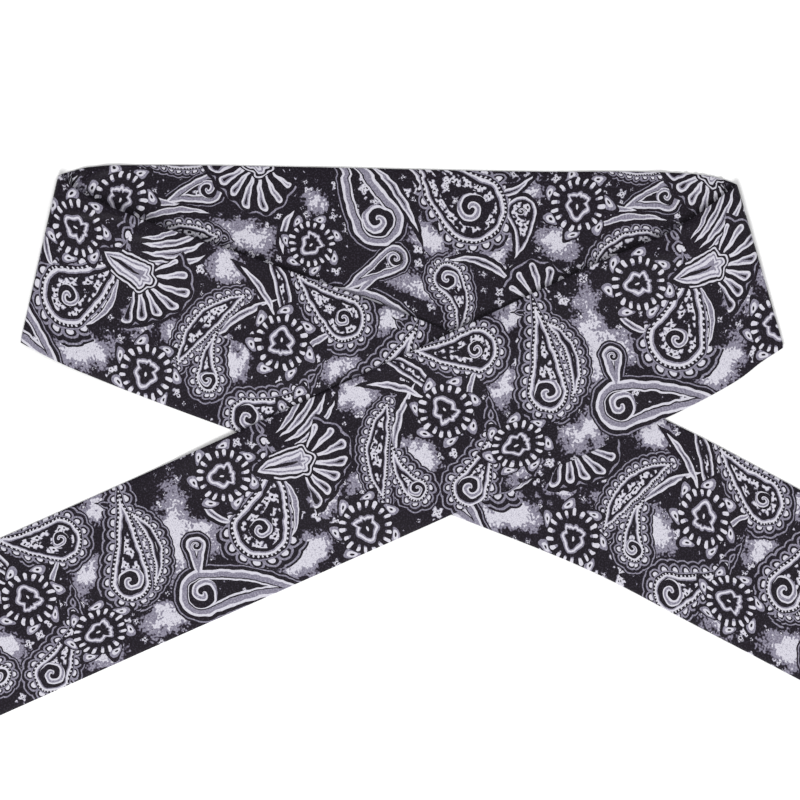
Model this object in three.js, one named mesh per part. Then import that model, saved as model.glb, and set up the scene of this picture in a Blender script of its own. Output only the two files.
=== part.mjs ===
// A skinny silk scarf, laid flat on a table in an open neck loop.
//
// The scarf is one long flat tube of printed silk: a panel folded lengthwise, sewn along one
// long edge, turned through and closed square at both ends, so that two plies lie pressed
// together everywhere. It lies in three stretches, and each is a solid of its own:
//   neck_band   straight across the back, and lowest;
//   right_tail  turned over at the band's left end, and running out to the front right;
//   left_tail   turned over at the band's right end, and running out to the front left, on
//               top of the right tail where the two cross.
// The cloth is joined to itself below each turn, where a tail meets the band edge to edge.
//
// Millimetres, +Z up, +X to the right and +Y to the back. The origin is on the table, below
// the middle of the scarf's bounding box.

import * as THREE from "three";

// Driving sizes.
const SCARF_LENGTH = 1500; // along the tube, both turns included
const WALL = 1.4; // two plies of silk, pressed flat
const SEAM_GAP = 0.3; // between a tail and the band where they meet edge to edge
const LAYER_GAP = 0.35; // between layers that lie on each other
const LAYER = WALL + LAYER_GAP; // how far one layer raises the next
const HALF_WALL = WALL / 2;

// A turn is a soft half roll. It is pressed at its front corner and open at its back corner.
const TURN = { frontRadius: 0.9, backRadius: 2.1, settles: 60, lap: 9 };

// Past the edge of what it lies on, the cloth bridges down to the next layer.
const BRIDGE = { margin: 4, reach: 30 };

// Near each turn the tail's back edge stands clear of the band in one long soft lift.
const LIFT = { height: 2.6, starts: 2, peaks: 50, ends: 125, from: 0 };

// The mesh: the spacing of stations along the cloth and of points across it.
const MESH = { step: 7.5, plainStep: 30, across: 8, turnSteps: 8, difference: 0.02 };

// Each row is one section straight across the cloth: its centre, how many degrees it leans to
// the right of +Y, and its length. Places are measured from the middle of the loop.
const BAND_SECTIONS = [
  { x: -153, y: 60, lean: 12.8, span: 72.6 },
  { x: -133, y: 63.6, lean: 5, span: 71 },
  { x: -106, y: 64.6, lean: 1, span: 70 },
  { x: -42, y: 63.8, lean: 1, span: 70 },
  { x: 59, y: 61.8, lean: 1, span: 70 },
  { x: 102, y: 61.8, lean: 0, span: 70 },
  { x: 133, y: 60.2, lean: -6, span: 70.5 },
  { x: 152.9, y: 57, lean: -16.1, span: 71.9 },
];
const RIGHT_TAIL_SECTIONS = [
  { x: -153, y: 60, lean: 12.8, span: 72.6 },
  { x: -144.7, y: 54.4, lean: 17, span: 69.5 },
  { x: -126.7, y: 46, lean: 22.5, span: 69.5 },
  { x: -92.2, y: 33, lean: 21.8, span: 71 },
  { x: -34.2, y: 12, lean: 22.4, span: 72 },
  { x: 35.5, y: -15.5, lean: 23.8, span: 71.7 },
  { x: 97.5, y: -40.8, lean: 26.1, span: 71.5 },
  { x: 144.1, y: -65, lean: 28, span: 71.5 },
  { x: 179.5, y: -83.8, lean: 27.5, span: 71 },
];
const LEFT_TAIL_SECTIONS = [
  { x: 152.9, y: 57, lean: -16.1, span: 71.9 },
  { x: 141, y: 48.4, lean: -20.5, span: 69 },
  { x: 129.5, y: 40.3, lean: -24.5, span: 69 },
  { x: 106, y: 28.8, lean: -26, span: 71.5 },
  { x: 78.5, y: 16.2, lean: -24, span: 71.5 },
  { x: 37.7, y: -2.8, lean: -24.6, span: 70.5 },
  { x: -53.7, y: -44.5, lean: -24.3, span: 69 },
  { x: -113.1, y: -71, lean: -24.3, span: 68.6 },
  { x: -155.5, y: -89.9, lean: -24, span: 68.6 },
];

const silk = new THREE.MeshStandardMaterial({ color: 0x4d4952, roughness: 0.5, metalness: 0 });

// 0 before start, 1 after end, and an even S between them.
function ease(start, end, value) {
  const share = THREE.MathUtils.clamp((value - start) / (end - start), 0, 1);
  return share * share * (3 - 2 * share);
}

// A stretch of cloth seen from above: a smooth path through its sections that runs on
// straight past the last one.
class Stretch {
  constructor(rows) {
    this.marks = [0];
    for (let i = 1; i < rows.length; i += 1) {
      const step = Math.hypot(rows[i].x - rows[i - 1].x, rows[i].y - rows[i - 1].y);
      this.marks.push(this.marks[i - 1] + step);
    }
    this.shaped = this.marks[rows.length - 1];
    const values = rows.flatMap((row) => [row.x, row.y, row.lean, row.span]);
    this.curve = new THREE.CubicInterpolant(this.marks, values, 4);
    const [before, last] = rows.slice(-2);
    this.onward = new THREE.Vector2(last.x - before.x, last.y - before.y).normalize();
  }

  // The section at a distance along the path.
  section(along) {
    const [x, y, lean, span] = this.curve.evaluate(THREE.MathUtils.clamp(along, 0, this.shaped));
    const past = Math.max(0, along - this.shaped);
    const angle = THREE.MathUtils.degToRad(lean);
    return {
      centre: new THREE.Vector2(x, y).addScaledVector(this.onward, past),
      towardsBack: new THREE.Vector2(Math.sin(angle), Math.cos(angle)),
      half: span / 2,
    };
  }

  // The point of the cloth at a distance along the path and at a share of the half width,
  // from -1 at the front edge to 1 at the back edge.
  plan(along, side) {
    const { centre, towardsBack, half } = this.section(along);
    return centre.clone().addScaledVector(towardsBack, side * half);
  }

  // 1 over or under this stretch, falling to 0 where cloth that bridges off it lands.
  support(point) {
    let nearest = Infinity;
    let half = 0;
    for (let along = 0; along < this.shaped; along += MESH.step / 2) {
      const section = this.section(along);
      const distance = section.centre.distanceTo(point);
      if (distance < nearest) {
        nearest = distance;
        half = section.half;
      }
    }
    const edge = half + BRIDGE.margin;
    return 1 - ease(edge, edge + BRIDGE.reach, nearest);
  }
}

const band = new Stretch(BAND_SECTIONS);
const bandFromRight = new Stretch([...BAND_SECTIONS].reverse());
const rightRun = new Stretch(RIGHT_TAIL_SECTIONS);
const leftRun = new Stretch(LEFT_TAIL_SECTIONS);
const TAIL_LENGTH = (SCARF_LENGTH - band.shaped) / 2;

// How high each tail's underside lies over the table.
function rightTailRise(point) {
  return LAYER * band.support(point);
}

function leftTailRise(point) {
  const overBand = LAYER * band.support(point);
  const overRightTail = (rightTailRise(point) + LAYER) * rightRun.support(point);
  return Math.max(overBand, overRightTail);
}

function turnRadius(side) {
  return THREE.MathUtils.lerp(TURN.frontRadius, TURN.backRadius, ease(-1, 1, side));
}

function backEdgeLift(along, side) {
  const rising = ease(LIFT.starts, LIFT.peaks, along);
  const falling = 1 - ease(LIFT.peaks, LIFT.ends, along);
  return LIFT.height * Math.min(rising, falling) * ease(LIFT.from, 1, side);
}

// The middle of the cloth's thickness at one place of the band.
function bandPoint(along, side) {
  const point = band.plan(along, side);
  return new THREE.Vector3(point.x, point.y, HALF_WALL);
}

// The middle of a tail's thickness. The place is a distance in front of the turn where it is
// over PI, the angle round the turn from 0 to PI, and a distance back along the band below 0.
function tailPoint(under, run, rise, place, side) {
  const radius = turnRadius(side);
  const axis = radius + HALF_WALL;
  if (place < 0) {
    const point = under.plan(axis - place, side);
    return new THREE.Vector3(point.x, point.y, HALF_WALL);
  }
  if (place <= Math.PI) {
    const inward = axis - radius * Math.sin(place);
    const share = (1 - Math.cos(place)) / 2;
    const point = under.plan(inward, side).lerp(run.plan(inward, side), share);
    return new THREE.Vector3(point.x, point.y, HALF_WALL + 2 * radius * share);
  }
  const along = axis + place - Math.PI;
  const point = run.plan(along, side);
  const open = (2 * radius - LAYER) * (1 - ease(axis, TURN.settles, along));
  const height = rise(point) + open + backEdgeLift(along, side);
  return new THREE.Vector3(point.x, point.y, HALF_WALL + height);
}

// The unit normal of a surface, from its slopes along and across the cloth.
function normalOf(surface, place, side) {
  const step = MESH.difference;
  const along = surface(place + step, side).sub(surface(place - step, side));
  const across = surface(place, side + step).sub(surface(place, side - step));
  return along.cross(across).normalize();
}

// The points of a section, from the front edge to the back edge, as a share of the half width
// and of the half thickness. Both edges are rounded.
function sectionProfile(half) {
  const edge = HALF_WALL / half;
  const corner = Math.SQRT1_2;
  const profile = [
    { side: -1, thick: 0 },
    { side: -1 + edge * (1 - corner), thick: corner },
  ];
  for (let i = 0; i <= MESH.across; i += 1) {
    profile.push({ side: (1 - edge) * ((2 * i) / MESH.across - 1), thick: 1 });
  }
  profile.push({ side: 1 - edge * (1 - corner), thick: corner }, { side: 1, thick: 0 });
  return profile;
}

// A closed solid wall about a surface, through a ring of points at each place along it.
function clothSolid(surface, places, halfAt) {
  const positions = [];
  const triangles = [];
  const rings = places.map((place) => {
    const over = [];
    const under = [];
    for (const { side, thick } of sectionProfile(halfAt(place))) {
      const middle = surface(place, side);
      const offset = normalOf(surface, place, side).multiplyScalar(HALF_WALL * thick);
      over.push(positions.length / 3);
      positions.push(...middle.clone().add(offset));
      under.push(thick === 0 ? over.at(-1) : positions.length / 3);
      if (thick !== 0) positions.push(...middle.clone().sub(offset));
    }
    return { over, under };
  });
  const quad = (a, b, c, d) => {
    if (a !== b && b !== c) triangles.push(a, b, c);
    if (c !== d && d !== a) triangles.push(a, c, d);
  };
  const last = rings[0].over.length - 1;
  for (let i = 1; i < rings.length; i += 1) {
    const [from, to] = [rings[i - 1], rings[i]];
    for (let j = 0; j < last; j += 1) {
      quad(from.over[j], to.over[j], to.over[j + 1], from.over[j + 1]);
      quad(from.under[j], from.under[j + 1], to.under[j + 1], to.under[j]);
    }
  }
  const [start, end] = [rings[0], rings.at(-1)];
  for (let j = 0; j < last; j += 1) {
    quad(start.under[j], start.over[j], start.over[j + 1], start.under[j + 1]);
    quad(end.over[j], end.under[j], end.under[j + 1], end.over[j + 1]);
  }
  const geometry = new THREE.BufferGeometry();
  geometry.setAttribute("position", new THREE.Float32BufferAttribute(positions, 3));
  geometry.setIndex(triangles);
  return geometry;
}

// Evenly spaced values from start to end, no further apart than the step.
function spaced(start, end, step) {
  const count = Math.max(1, Math.ceil((end - start) / step));
  return Array.from({ length: count + 1 }, (_, i) => start + ((end - start) * i) / count);
}

function bandGeometry() {
  const seam = TURN.lap + SEAM_GAP;
  const places = spaced(seam, band.shaped - seam, MESH.step);
  return clothSolid(bandPoint, places, (place) => band.section(place).half);
}

// A tail, from the seam below its turn to its square end.
function tailGeometry(under, run, rise) {
  const surface = (place, side) => tailPoint(under, run, rise, place, side);
  const shaped = Math.PI + run.shaped;
  const places = [
    ...spaced(-lapLength(), 0, MESH.step).slice(0, -1),
    ...spaced(0, Math.PI, Math.PI / MESH.turnSteps),
    ...spaced(Math.PI, shaped, MESH.step).slice(1),
    ...spaced(shaped, Math.PI + TAIL_LENGTH, MESH.plainStep).slice(1),
  ];
  const halfAt = (place) => run.section(Math.max(0, place - Math.PI)).half;
  return clothSolid(surface, places, halfAt);
}

// From the roll's axis at the front corner back to the seam.
function lapLength() {
  return TURN.lap - TURN.backRadius - HALF_WALL;
}

function piece(name, geometry) {
  const mesh = new THREE.Mesh(geometry, silk);
  mesh.name = name;
  return mesh;
}

const laid = new THREE.Group();
laid.add(
  piece("neck_band", bandGeometry()),
  piece("right_tail", tailGeometry(band, rightRun, rightTailRise)),
  piece("left_tail", tailGeometry(bandFromRight, leftRun, leftTailRise)),
);

// The loop's own middle isn't the middle of the box, so the whole scarf moves over it.
const middle = new THREE.Box3().setFromObject(laid).getCenter(new THREE.Vector3());
laid.position.set(-middle.x, -middle.y, 0);

const scarf = new THREE.Group();
scarf.add(laid);

export default scarf;
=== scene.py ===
"""Dresses a skinny silk scarf that lies on a table in an open neck loop.

The scarf is one long flat tube of printed silk. It lies in three stretches: the neck band
straight across the back, and two tails that turn over at the band's ends, cross in front of
it and run out to the sides. Each stretch is a hollow, pressed tube of thin cloth here. Its
print is drawn by shader nodes in the cloth's own measurements.

Lengths in tables are in millimetres; meshes are in metres, in the part's frame: +X to the
right, +Y to the back, +Z up from the table.
"""

import logging
import math
from dataclasses import dataclass
from enum import Enum
from typing import ClassVar, Optional, Sequence, Union

import bmesh
import bpy
from mathutils import Matrix, Vector


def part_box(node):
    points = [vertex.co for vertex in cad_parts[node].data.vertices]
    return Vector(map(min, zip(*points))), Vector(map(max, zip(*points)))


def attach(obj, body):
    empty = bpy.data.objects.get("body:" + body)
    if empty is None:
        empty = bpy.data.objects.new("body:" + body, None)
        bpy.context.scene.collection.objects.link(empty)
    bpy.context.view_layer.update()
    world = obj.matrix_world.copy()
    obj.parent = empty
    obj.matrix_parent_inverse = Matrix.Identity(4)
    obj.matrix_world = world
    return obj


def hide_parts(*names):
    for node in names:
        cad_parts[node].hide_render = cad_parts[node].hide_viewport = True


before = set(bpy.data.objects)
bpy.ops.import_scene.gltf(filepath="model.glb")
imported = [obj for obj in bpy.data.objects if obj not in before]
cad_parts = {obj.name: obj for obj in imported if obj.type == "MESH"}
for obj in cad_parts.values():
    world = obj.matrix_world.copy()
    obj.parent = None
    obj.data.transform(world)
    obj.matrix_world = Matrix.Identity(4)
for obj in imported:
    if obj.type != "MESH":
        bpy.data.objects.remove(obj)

logging.basicConfig(level=logging.INFO, format="%(name)s: %(message)s")
log = logging.getLogger("scarf")

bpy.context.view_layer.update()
MM = 0.001


# --------------------------------------------------------------------------- the lay


def ease(start: float, end: float, value: float) -> float:
    """An even S from 0 at start to 1 at end.

    Args:
        start: Where the S leaves 0.
        end: Where it reaches 1.
        value: The place to read it at.

    Returns:
        A share from 0 to 1.
    """
    share = min(max((value - start) / (end - start), 0.0), 1.0)
    return share * share * (3 - 2 * share)


@dataclass(frozen=True)
class Section:
    """A line straight across the cloth, in millimetres from the middle of the loop.

    Attributes:
        x: Its middle, to the right.
        y: Its middle, to the back.
        lean: Degrees that its back end leans to the right.
        span: Its length.
    """

    x: float
    y: float
    lean: float
    span: float

    def values(self) -> tuple[float, float, float, float]:
        """The section as plain numbers."""
        return (self.x, self.y, self.lean, self.span)


class Course:
    """The way a stretch of cloth runs, seen from above, in millimetres.

    It is a smooth curve through its sections that runs on straight past the last one.
    """

    SPINE_STEP: ClassVar[float] = 5.0

    def __init__(self, sections: Sequence[Section]) -> None:
        """Measures the way along the sections.

        Args:
            sections: The sections in order, from the turn or from the band's end.
        """
        self.rows = [section.values() for section in sections]
        self.marks = [0.0]
        for before, after in zip(self.rows, self.rows[1:]):
            self.marks.append(self.marks[-1] + math.dist(before[:2], after[:2]))
        self.shaped = self.marks[-1]
        steps = list(zip(self.marks, self.marks[1:], self.rows, self.rows[1:]))
        secants = [
            [(b - a) / (end - start) for a, b in zip(low, high)]
            for start, end, low, high in steps
        ]
        inner = [
            [(a + b) / 2 for a, b in zip(low, high)]
            for low, high in zip(secants, secants[1:])
        ]
        self.slopes = [secants[0], *inner, secants[-1]]
        self.onward = Vector(
            (self.rows[-1][0] - self.rows[-2][0], self.rows[-1][1] - self.rows[-2][1])
        ).normalized()
        spine_steps = int(self.shaped / self.SPINE_STEP) + 1
        self.spine = [self.values(step * self.SPINE_STEP) for step in range(spine_steps)]

    def values(self, along: float) -> list[float]:
        """The section at a place, by a cubic between the given ones.

        Args:
            along: The distance along the way.

        Returns:
            Its middle, lean and span.
        """
        last = len(self.marks) - 2
        index = next((i for i in range(last) if along < self.marks[i + 1]), last)
        start, end = self.marks[index], self.marks[index + 1]
        width = end - start
        p = (along - start) / width
        ease_in = (p * p * (3 - 2 * p), p * (1 - p) ** 2 * width, p * p * (p - 1) * width)
        rows = zip(
            self.rows[index],
            self.rows[index + 1],
            self.slopes[index],
            self.slopes[index + 1],
        )
        return [
            a + (b - a) * ease_in[0] + slope_a * ease_in[1] + slope_b * ease_in[2]
            for a, b, slope_a, slope_b in rows
        ]

    def plan(self, along: float, side: float) -> Vector:
        """A point of the cloth, seen from above.

        Args:
            along: The distance along the way.
            side: The share of the half width, from -1 at the front edge to 1 at the back.

        Returns:
            The point, in millimetres.
        """
        x, y, lean, span = self.values(min(max(along, 0.0), self.shaped))
        past = max(0.0, along - self.shaped)
        angle = math.radians(lean)
        half = side * span / 2
        point = Vector((x + math.sin(angle) * half, y + math.cos(angle) * half))
        return point + self.onward * past

    def support(self, point: Vector, margin: float, reach: float) -> float:
        """How far this stretch holds up cloth that lies across it.

        Args:
            point: Where the upper cloth is, in millimetres.
            margin: How far past this stretch's edge the cloth stays up.
            reach: How far beyond that it comes down over.

        Returns:
            1 over the stretch, falling to 0.
        """
        px, py = point.x, point.y
        nearest, span = min(((px - x) ** 2 + (py - y) ** 2, span) for x, y, _, span in self.spine)
        nearest = math.sqrt(nearest)
        edge = span / 2 + margin
        return 1 - ease(edge, edge + reach, nearest)


# ----------------------------------------------------------------------- the cloth


class Face(Enum):
    """The cloth's printed front and back and the tube's plain inside, by material slot."""

    FRONT = 0
    BACK = 1
    INSIDE = 2


@dataclass(frozen=True)
class EdgePoint:
    """A point of the tube's pressed profile, in millimetres.

    Attributes:
        inset: How far it lies inside the tube's edge.
        half: Half the tube's thickness there.
    """

    inset: float
    half: float


@dataclass(frozen=True)
class Profile:
    """The flat tube cut straight across, in millimetres.

    Attributes:
        width: From edge to edge.
        wall: The cloth's own thickness.
        middle_half: Half the tube's thickness between its edges.
        eased: How far from the edges' last points it takes to reach that.
        points: How many steps the middle has.
        sewn: The front edge.
        folded: The back edge.
    """

    width: float = 70.0
    wall: float = 0.12
    middle_half: float = 0.48
    eased: float = 1.6
    points: int = 44
    sewn: tuple[EdgePoint, ...] = (
        EdgePoint(0.35, 0.0),
        EdgePoint(0.05, 0.2),
        EdgePoint(0.0, 0.3),
        EdgePoint(0.3, 0.4),
        EdgePoint(1.2, 0.44),
    )
    folded: tuple[EdgePoint, ...] = (
        EdgePoint(0.0, 0.0),
        EdgePoint(0.06, 0.2),
        EdgePoint(0.3, 0.34),
        EdgePoint(1.2, 0.42),
    )

    def across(self) -> list[tuple[float, float]]:
        """The profile's points, from the front edge to the back.

        Returns:
            The side share of each, from -1 to 1, and its half thickness in millimetres.
        """
        half_width = self.width / 2
        rows = [(point.inset / half_width - 1, point.half) for point in self.sewn]
        low = self.sewn[-1].inset + self.eased
        high = self.width - self.folded[-1].inset - self.eased
        for index in range(self.points + 1):
            inset = low + (high - low) * index / self.points
            rows.append((inset / half_width - 1, self.middle_half))
        rows += [(1 - point.inset / half_width, point.half) for point in reversed(self.folded)]
        return rows


@dataclass(frozen=True)
class Crease:
    """A soft trough or ridge in a stretch of cloth, in millimetres.

    Attributes:
        along: Its middle, from the start of the stretch.
        across: Its middle, from the centre line to the back.
        turn: Degrees that it leans from straight across the cloth.
        length: From end to end.
        width: From side to side.
        height: Of the ridge, or of the trough where it is negative.
    """

    along: float
    across: float
    turn: float
    length: float
    width: float
    height: float

    def rise(self, along: float, across: float) -> float:
        """How far it lifts the cloth at a place.

        Args:
            along: The distance from the start of the stretch, in millimetres.
            across: The distance from the centre line to the back, in millimetres.

        Returns:
            The lift, in millimetres.
        """
        x, y = along - self.along, across - self.across
        angle = math.radians(self.turn)
        run = x * math.sin(angle) + y * math.cos(angle)
        off = x * math.cos(angle) - y * math.sin(angle)
        if abs(run) > self.length / 2 or abs(off) > self.width * 2:
            return 0.0
        fade = math.cos(math.pi * run / self.length) ** 2
        return self.height * fade * math.exp(-((2 * off / self.width) ** 2))


@dataclass(frozen=True)
class Layers:
    """How layers of the scarf lie on each other, in millimetres.

    Attributes:
        wall: The thickness of the pressed tube.
        gap: Between two layers.
        margin: How far past a layer's edge the cloth over it stays up.
        reach: How far beyond that it comes down over.
    """

    wall: float = 1.4
    gap: float = 0.35
    margin: float = 4.0
    reach: float = 30.0

    @property
    def step(self) -> float:
        """How far one layer raises the next."""
        return self.wall + self.gap


@dataclass(frozen=True)
class Turn:
    """The half roll at each end of the band, in millimetres.

    Attributes:
        front_radius: The roll's radius at the front corner.
        back_radius: Its radius at the back corner.
        settles: How far along the tail the opened roll has come down.
        lap: How far the tail runs on under the roll, to its seam with the band.
        seam_gap: Between the tail and the band there.
    """

    front_radius: float = 0.9
    back_radius: float = 2.1
    settles: float = 60.0
    lap: float = 9.0
    seam_gap: float = 0.3

    def radius(self, side: float) -> float:
        """The roll's radius, tight at the front corner and open at the back one."""
        return self.front_radius + (self.back_radius - self.front_radius) * ease(-1, 1, side)


@dataclass(frozen=True)
class Lift:
    """The long soft lift of a tail's back edge near its turn, in millimetres.

    Attributes:
        height: At its peak.
        starts: Where it leaves the turn.
        peaks: Where it is highest.
        ends: Where the edge is down again.
    """

    height: float = 2.6
    starts: float = 2.0
    peaks: float = 50.0
    ends: float = 125.0

    def rise(self, along: float, side: float) -> float:
        """How far it lifts the cloth at a place.

        Args:
            along: The distance along the tail, in millimetres.
            side: From -1 at the front edge to 1 at the back.

        Returns:
            The lift, in millimetres.
        """
        rising = ease(self.starts, self.peaks, along)
        falling = 1 - ease(self.peaks, self.ends, along)
        return self.height * min(rising, falling) * ease(0, 1, side)


LAYERS = Layers()
TURN = Turn()
LIFT = Lift()
PROFILE = Profile()
SCARF_LENGTH = 1500.0

BAND_SECTIONS = (
    Section(-153, 60, 12.8, 72.6),
    Section(-133, 63.6, 5, 71),
    Section(-106, 64.6, 1, 70),
    Section(-42, 63.8, 1, 70),
    Section(59, 61.8, 1, 70),
    Section(102, 61.8, 0, 70),
    Section(133, 60.2, -6, 70.5),
    Section(152.9, 57, -16.1, 71.9),
)
RIGHT_TAIL_SECTIONS = (
    Section(-153, 60, 12.8, 72.6),
    Section(-144.7, 54.4, 17, 69.5),
    Section(-126.7, 46, 22.5, 69.5),
    Section(-92.2, 33, 21.8, 71),
    Section(-34.2, 12, 22.4, 72),
    Section(35.5, -15.5, 23.8, 71.7),
    Section(97.5, -40.8, 26.1, 71.5),
    Section(144.1, -65, 28, 71.5),
    Section(179.5, -83.8, 27.5, 71),
)
LEFT_TAIL_SECTIONS = (
    Section(152.9, 57, -16.1, 71.9),
    Section(141, 48.4, -20.5, 69),
    Section(129.5, 40.3, -24.5, 69),
    Section(106, 28.8, -26, 71.5),
    Section(78.5, 16.2, -24, 71.5),
    Section(37.7, -2.8, -24.6, 70.5),
    Section(-53.7, -44.5, -24.3, 69),
    Section(-113.1, -71, -24.3, 68.6),
    Section(-155.5, -89.9, -24, 68.6),
)
BAND = Course(BAND_SECTIONS)
BAND_FROM_RIGHT = Course(BAND_SECTIONS[::-1])
RIGHT_RUN = Course(RIGHT_TAIL_SECTIONS)
LEFT_RUN = Course(LEFT_TAIL_SECTIONS)
TAIL_LENGTH = (SCARF_LENGTH - BAND.shaped) / 2
END_HEM = 2.0
END_RINGS = (0.8, 0.2, 0.0, 0.35)


def spaced(start: float, end: float, step: float) -> list[float]:
    """Even values from start to end, no further apart than a step."""
    count = max(1, math.ceil((end - start) / step))
    return [start + (end - start) * index / count for index in range(count + 1)]


def band_footing() -> Vector:
    """Where the middle of the loop lies in the part's frame, in millimetres.

    Returns:
        The shift that puts the band's outline on that of its solid.
    """
    seam = TURN.lap + TURN.seam_gap
    places = spaced(seam, BAND.shaped - seam, 1.0)
    points = [BAND.plan(place, side) for place in places for side in (-1, 1)]
    low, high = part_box("neck_band")
    middle_x = (min(p.x for p in points) + max(p.x for p in points)) / 2
    middle_y = (min(p.y for p in points) + max(p.y for p in points)) / 2
    return Vector(
        ((low[0] + high[0]) / 2 / MM - middle_x, (low[1] + high[1]) / 2 / MM - middle_y, 0.0)
    )


Grid = list[list[Vector]]
Rings = list[list[bmesh.types.BMVert]]


@dataclass
class Stretch:
    """A stretch of the scarf: a hollow pressed tube of cloth with printed faces.

    Attributes:
        name: The piece's name.
        node: The solid that it stands for.
        top: The face that shows from above.
        creases: Its own creases.
        step: The spacing of the rings of its mesh, in millimetres.
    """

    name: str
    node: str
    top: Face
    creases: tuple[Crease, ...] = ()
    step: float = 1.6

    def places(self) -> list[float]:
        """The rings' places along the stretch."""
        raise NotImplementedError

    def middle(self, place: float, side: float) -> Vector:
        """The middle of the tube's thickness at a place, in millimetres."""
        raise NotImplementedError

    def print_along(self, lengths: list[float], index: int, place: float, side: float) -> float:
        """The place along the front face's print, in millimetres.

        Args:
            lengths: The length of cloth from the first ring to each ring.
            index: The ring.
            place: The ring's place.
            side: From -1 at the front edge to 1 at the back.

        Returns:
            The distance, which grows to the right on the front face.
        """
        raise NotImplementedError

    def closed_end(self) -> bool:
        """Whether the last ring is the scarf's own end."""
        return False

    def cut_length(self) -> float:
        """The length of cloth in the stretch, in metres."""
        raise NotImplementedError

    def crease_rise(self, along: float, side: float) -> float:
        """What the creases add to the height at a place, in millimetres."""
        across = side * PROFILE.width / 2
        return sum(crease.rise(along, across) for crease in self.creases)

    def build(self, footing: Vector) -> bpy.types.Object:
        """Makes the tube's outer skin, then its inner one.

        Args:
            footing: The middle of the loop in the part's frame, in millimetres.

        Returns:
            The finished object.
        """
        places = self.places()
        grid = [[self.middle(place, side) for side, _ in PROFILE.across()] for place in places]
        work = bmesh.new()
        self.weave(work, self.rings(work, grid, footing), grid, places)
        work.normal_update()
        mesh = bpy.data.meshes.new(self.name)
        work.to_mesh(mesh)
        work.free()
        piece = bpy.data.objects.new(self.name, mesh)
        bpy.context.scene.collection.objects.link(piece)
        self.line(piece)
        return piece

    def rings(self, work: bmesh.types.BMesh, grid: Grid, footing: Vector) -> tuple[Rings, Rings]:
        """Adds the points over and under the middle of the tube's thickness.

        Args:
            work: The mesh in hand.
            grid: The middle of the thickness: a row for each ring.
            footing: The middle of the loop in the part's frame, in millimetres.

        Returns:
            The rows of points over it, and those under it. The two share a point where the
            tube is shut.
        """
        over, under = [], []
        last = len(grid) - 1
        for i, row in enumerate(grid):
            before, after = grid[max(i - 1, 0)], grid[min(i + 1, last)]
            pinch = 0.0 if self.closed_end() and i == last else 1.0
            tops, bottoms = [], []
            for j, (_, half) in enumerate(PROFILE.across()):
                left, right = row[max(j - 1, 0)], row[min(j + 1, len(row) - 1)]
                normal = (after[j] - before[j]).cross(right - left).normalized()
                offset = normal * half * pinch
                top = work.verts.new((row[j] + footing + offset) * MM)
                tops.append(top)
                shut = half * pinch == 0.0
                bottoms.append(top if shut else work.verts.new((row[j] + footing - offset) * MM))
            over.append(tops)
            under.append(bottoms)
        return over, under

    def weave(
        self,
        work: bmesh.types.BMesh,
        skins: tuple[Rings, Rings],
        grid: Grid,
        places: list[float],
    ) -> None:
        """Joins the points into cloth that carries its own measurements.

        Args:
            work: The mesh in hand.
            skins: The rows of points over and under.
            grid: The middle of the thickness.
            places: The rings' places.
        """
        sides = [side for side, _ in PROFILE.across()]
        lengths = [self.run_lengths([row[j] for row in grid]) for j in range(len(sides))]
        uv = work.loops.layers.uv.new("Cloth")
        facing = self.middle_faces_up(grid)
        for i in range(len(grid) - 1):
            for j in range(len(sides) - 1):
                corners = ((i, j), (i + 1, j), (i + 1, j + 1), (i, j + 1))
                for rings, outward in zip(skins, (True, False)):
                    order = corners if outward else corners[::-1]
                    verts = [rings[a][b] for a, b in order]
                    if len(set(verts)) < 3:
                        continue
                    kept = [k for k in range(4) if verts[k] not in verts[:k]]
                    face = work.faces.new([verts[k] for k in kept])
                    face.smooth = True
                    side = self.top if outward == facing else self.bottom()
                    face.material_index = side.value
                    for loop, k in zip(face.loops, kept):
                        a, b = order[k]
                        along = self.print_along(lengths[b], a, places[a], sides[b])
                        if side is Face.BACK:
                            along = Prints.BAND_START - along
                        loop[uv].uv = (along, sides[b] * PROFILE.width / 2)

    def bottom(self) -> Face:
        """The face that lies down."""
        return Face.BACK if self.top is Face.FRONT else Face.FRONT

    @staticmethod
    def run_lengths(points: list[Vector]) -> list[float]:
        """Measures cloth along a line of points.

        Args:
            points: The points in order.

        Returns:
            The length from the first point to each point.
        """
        total, lengths = 0.0, [0.0]
        for before, after in zip(points, points[1:]):
            total += (after - before).length
            lengths.append(total)
        return lengths

    @staticmethod
    def middle_faces_up(grid: Grid) -> bool:
        """Whether the skin that is built first looks up over most of the stretch.

        Args:
            grid: The middle of the thickness.

        Returns:
            True where it looks up, and False where it looks down.
        """
        row, after = grid[-3], grid[-2]
        centre = len(row) // 2
        normal = (after[centre] - row[centre]).cross(row[centre + 1] - row[centre - 1])
        return normal.z > 0

    @staticmethod
    def line(piece: bpy.types.Object) -> None:
        """Gives the outer skin its thickness of cloth, with the inner skin unprinted.

        Args:
            piece: The outer skin.
        """
        bpy.ops.object.select_all(action="DESELECT")
        piece.select_set(True)
        bpy.context.view_layer.objects.active = piece
        solid = piece.modifiers.new("cloth", "SOLIDIFY")
        solid.thickness = PROFILE.wall * MM
        solid.offset = -1.0
        solid.material_offset = Face.INSIDE.value
        solid.material_offset_rim = Face.INSIDE.value
        for _ in Face:
            piece.data.materials.append(None)
        bpy.ops.object.modifier_apply(modifier=solid.name)

    def dress(
        self,
        piece: bpy.types.Object,
        finishes: dict[Face, bpy.types.Material],
        rests_on: Sequence[Union[str, bpy.types.Object]],
    ) -> None:
        """Gives the piece its finishes and its place in the frame.

        Args:
            piece: The built stretch.
            finishes: The material of each face.
            rests_on: What the stretch lies on; not used.
        """
        for face, finish in finishes.items():
            piece.material_slots[face.value].material = finish
        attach(piece, "root")
        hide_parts(self.node)


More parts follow.
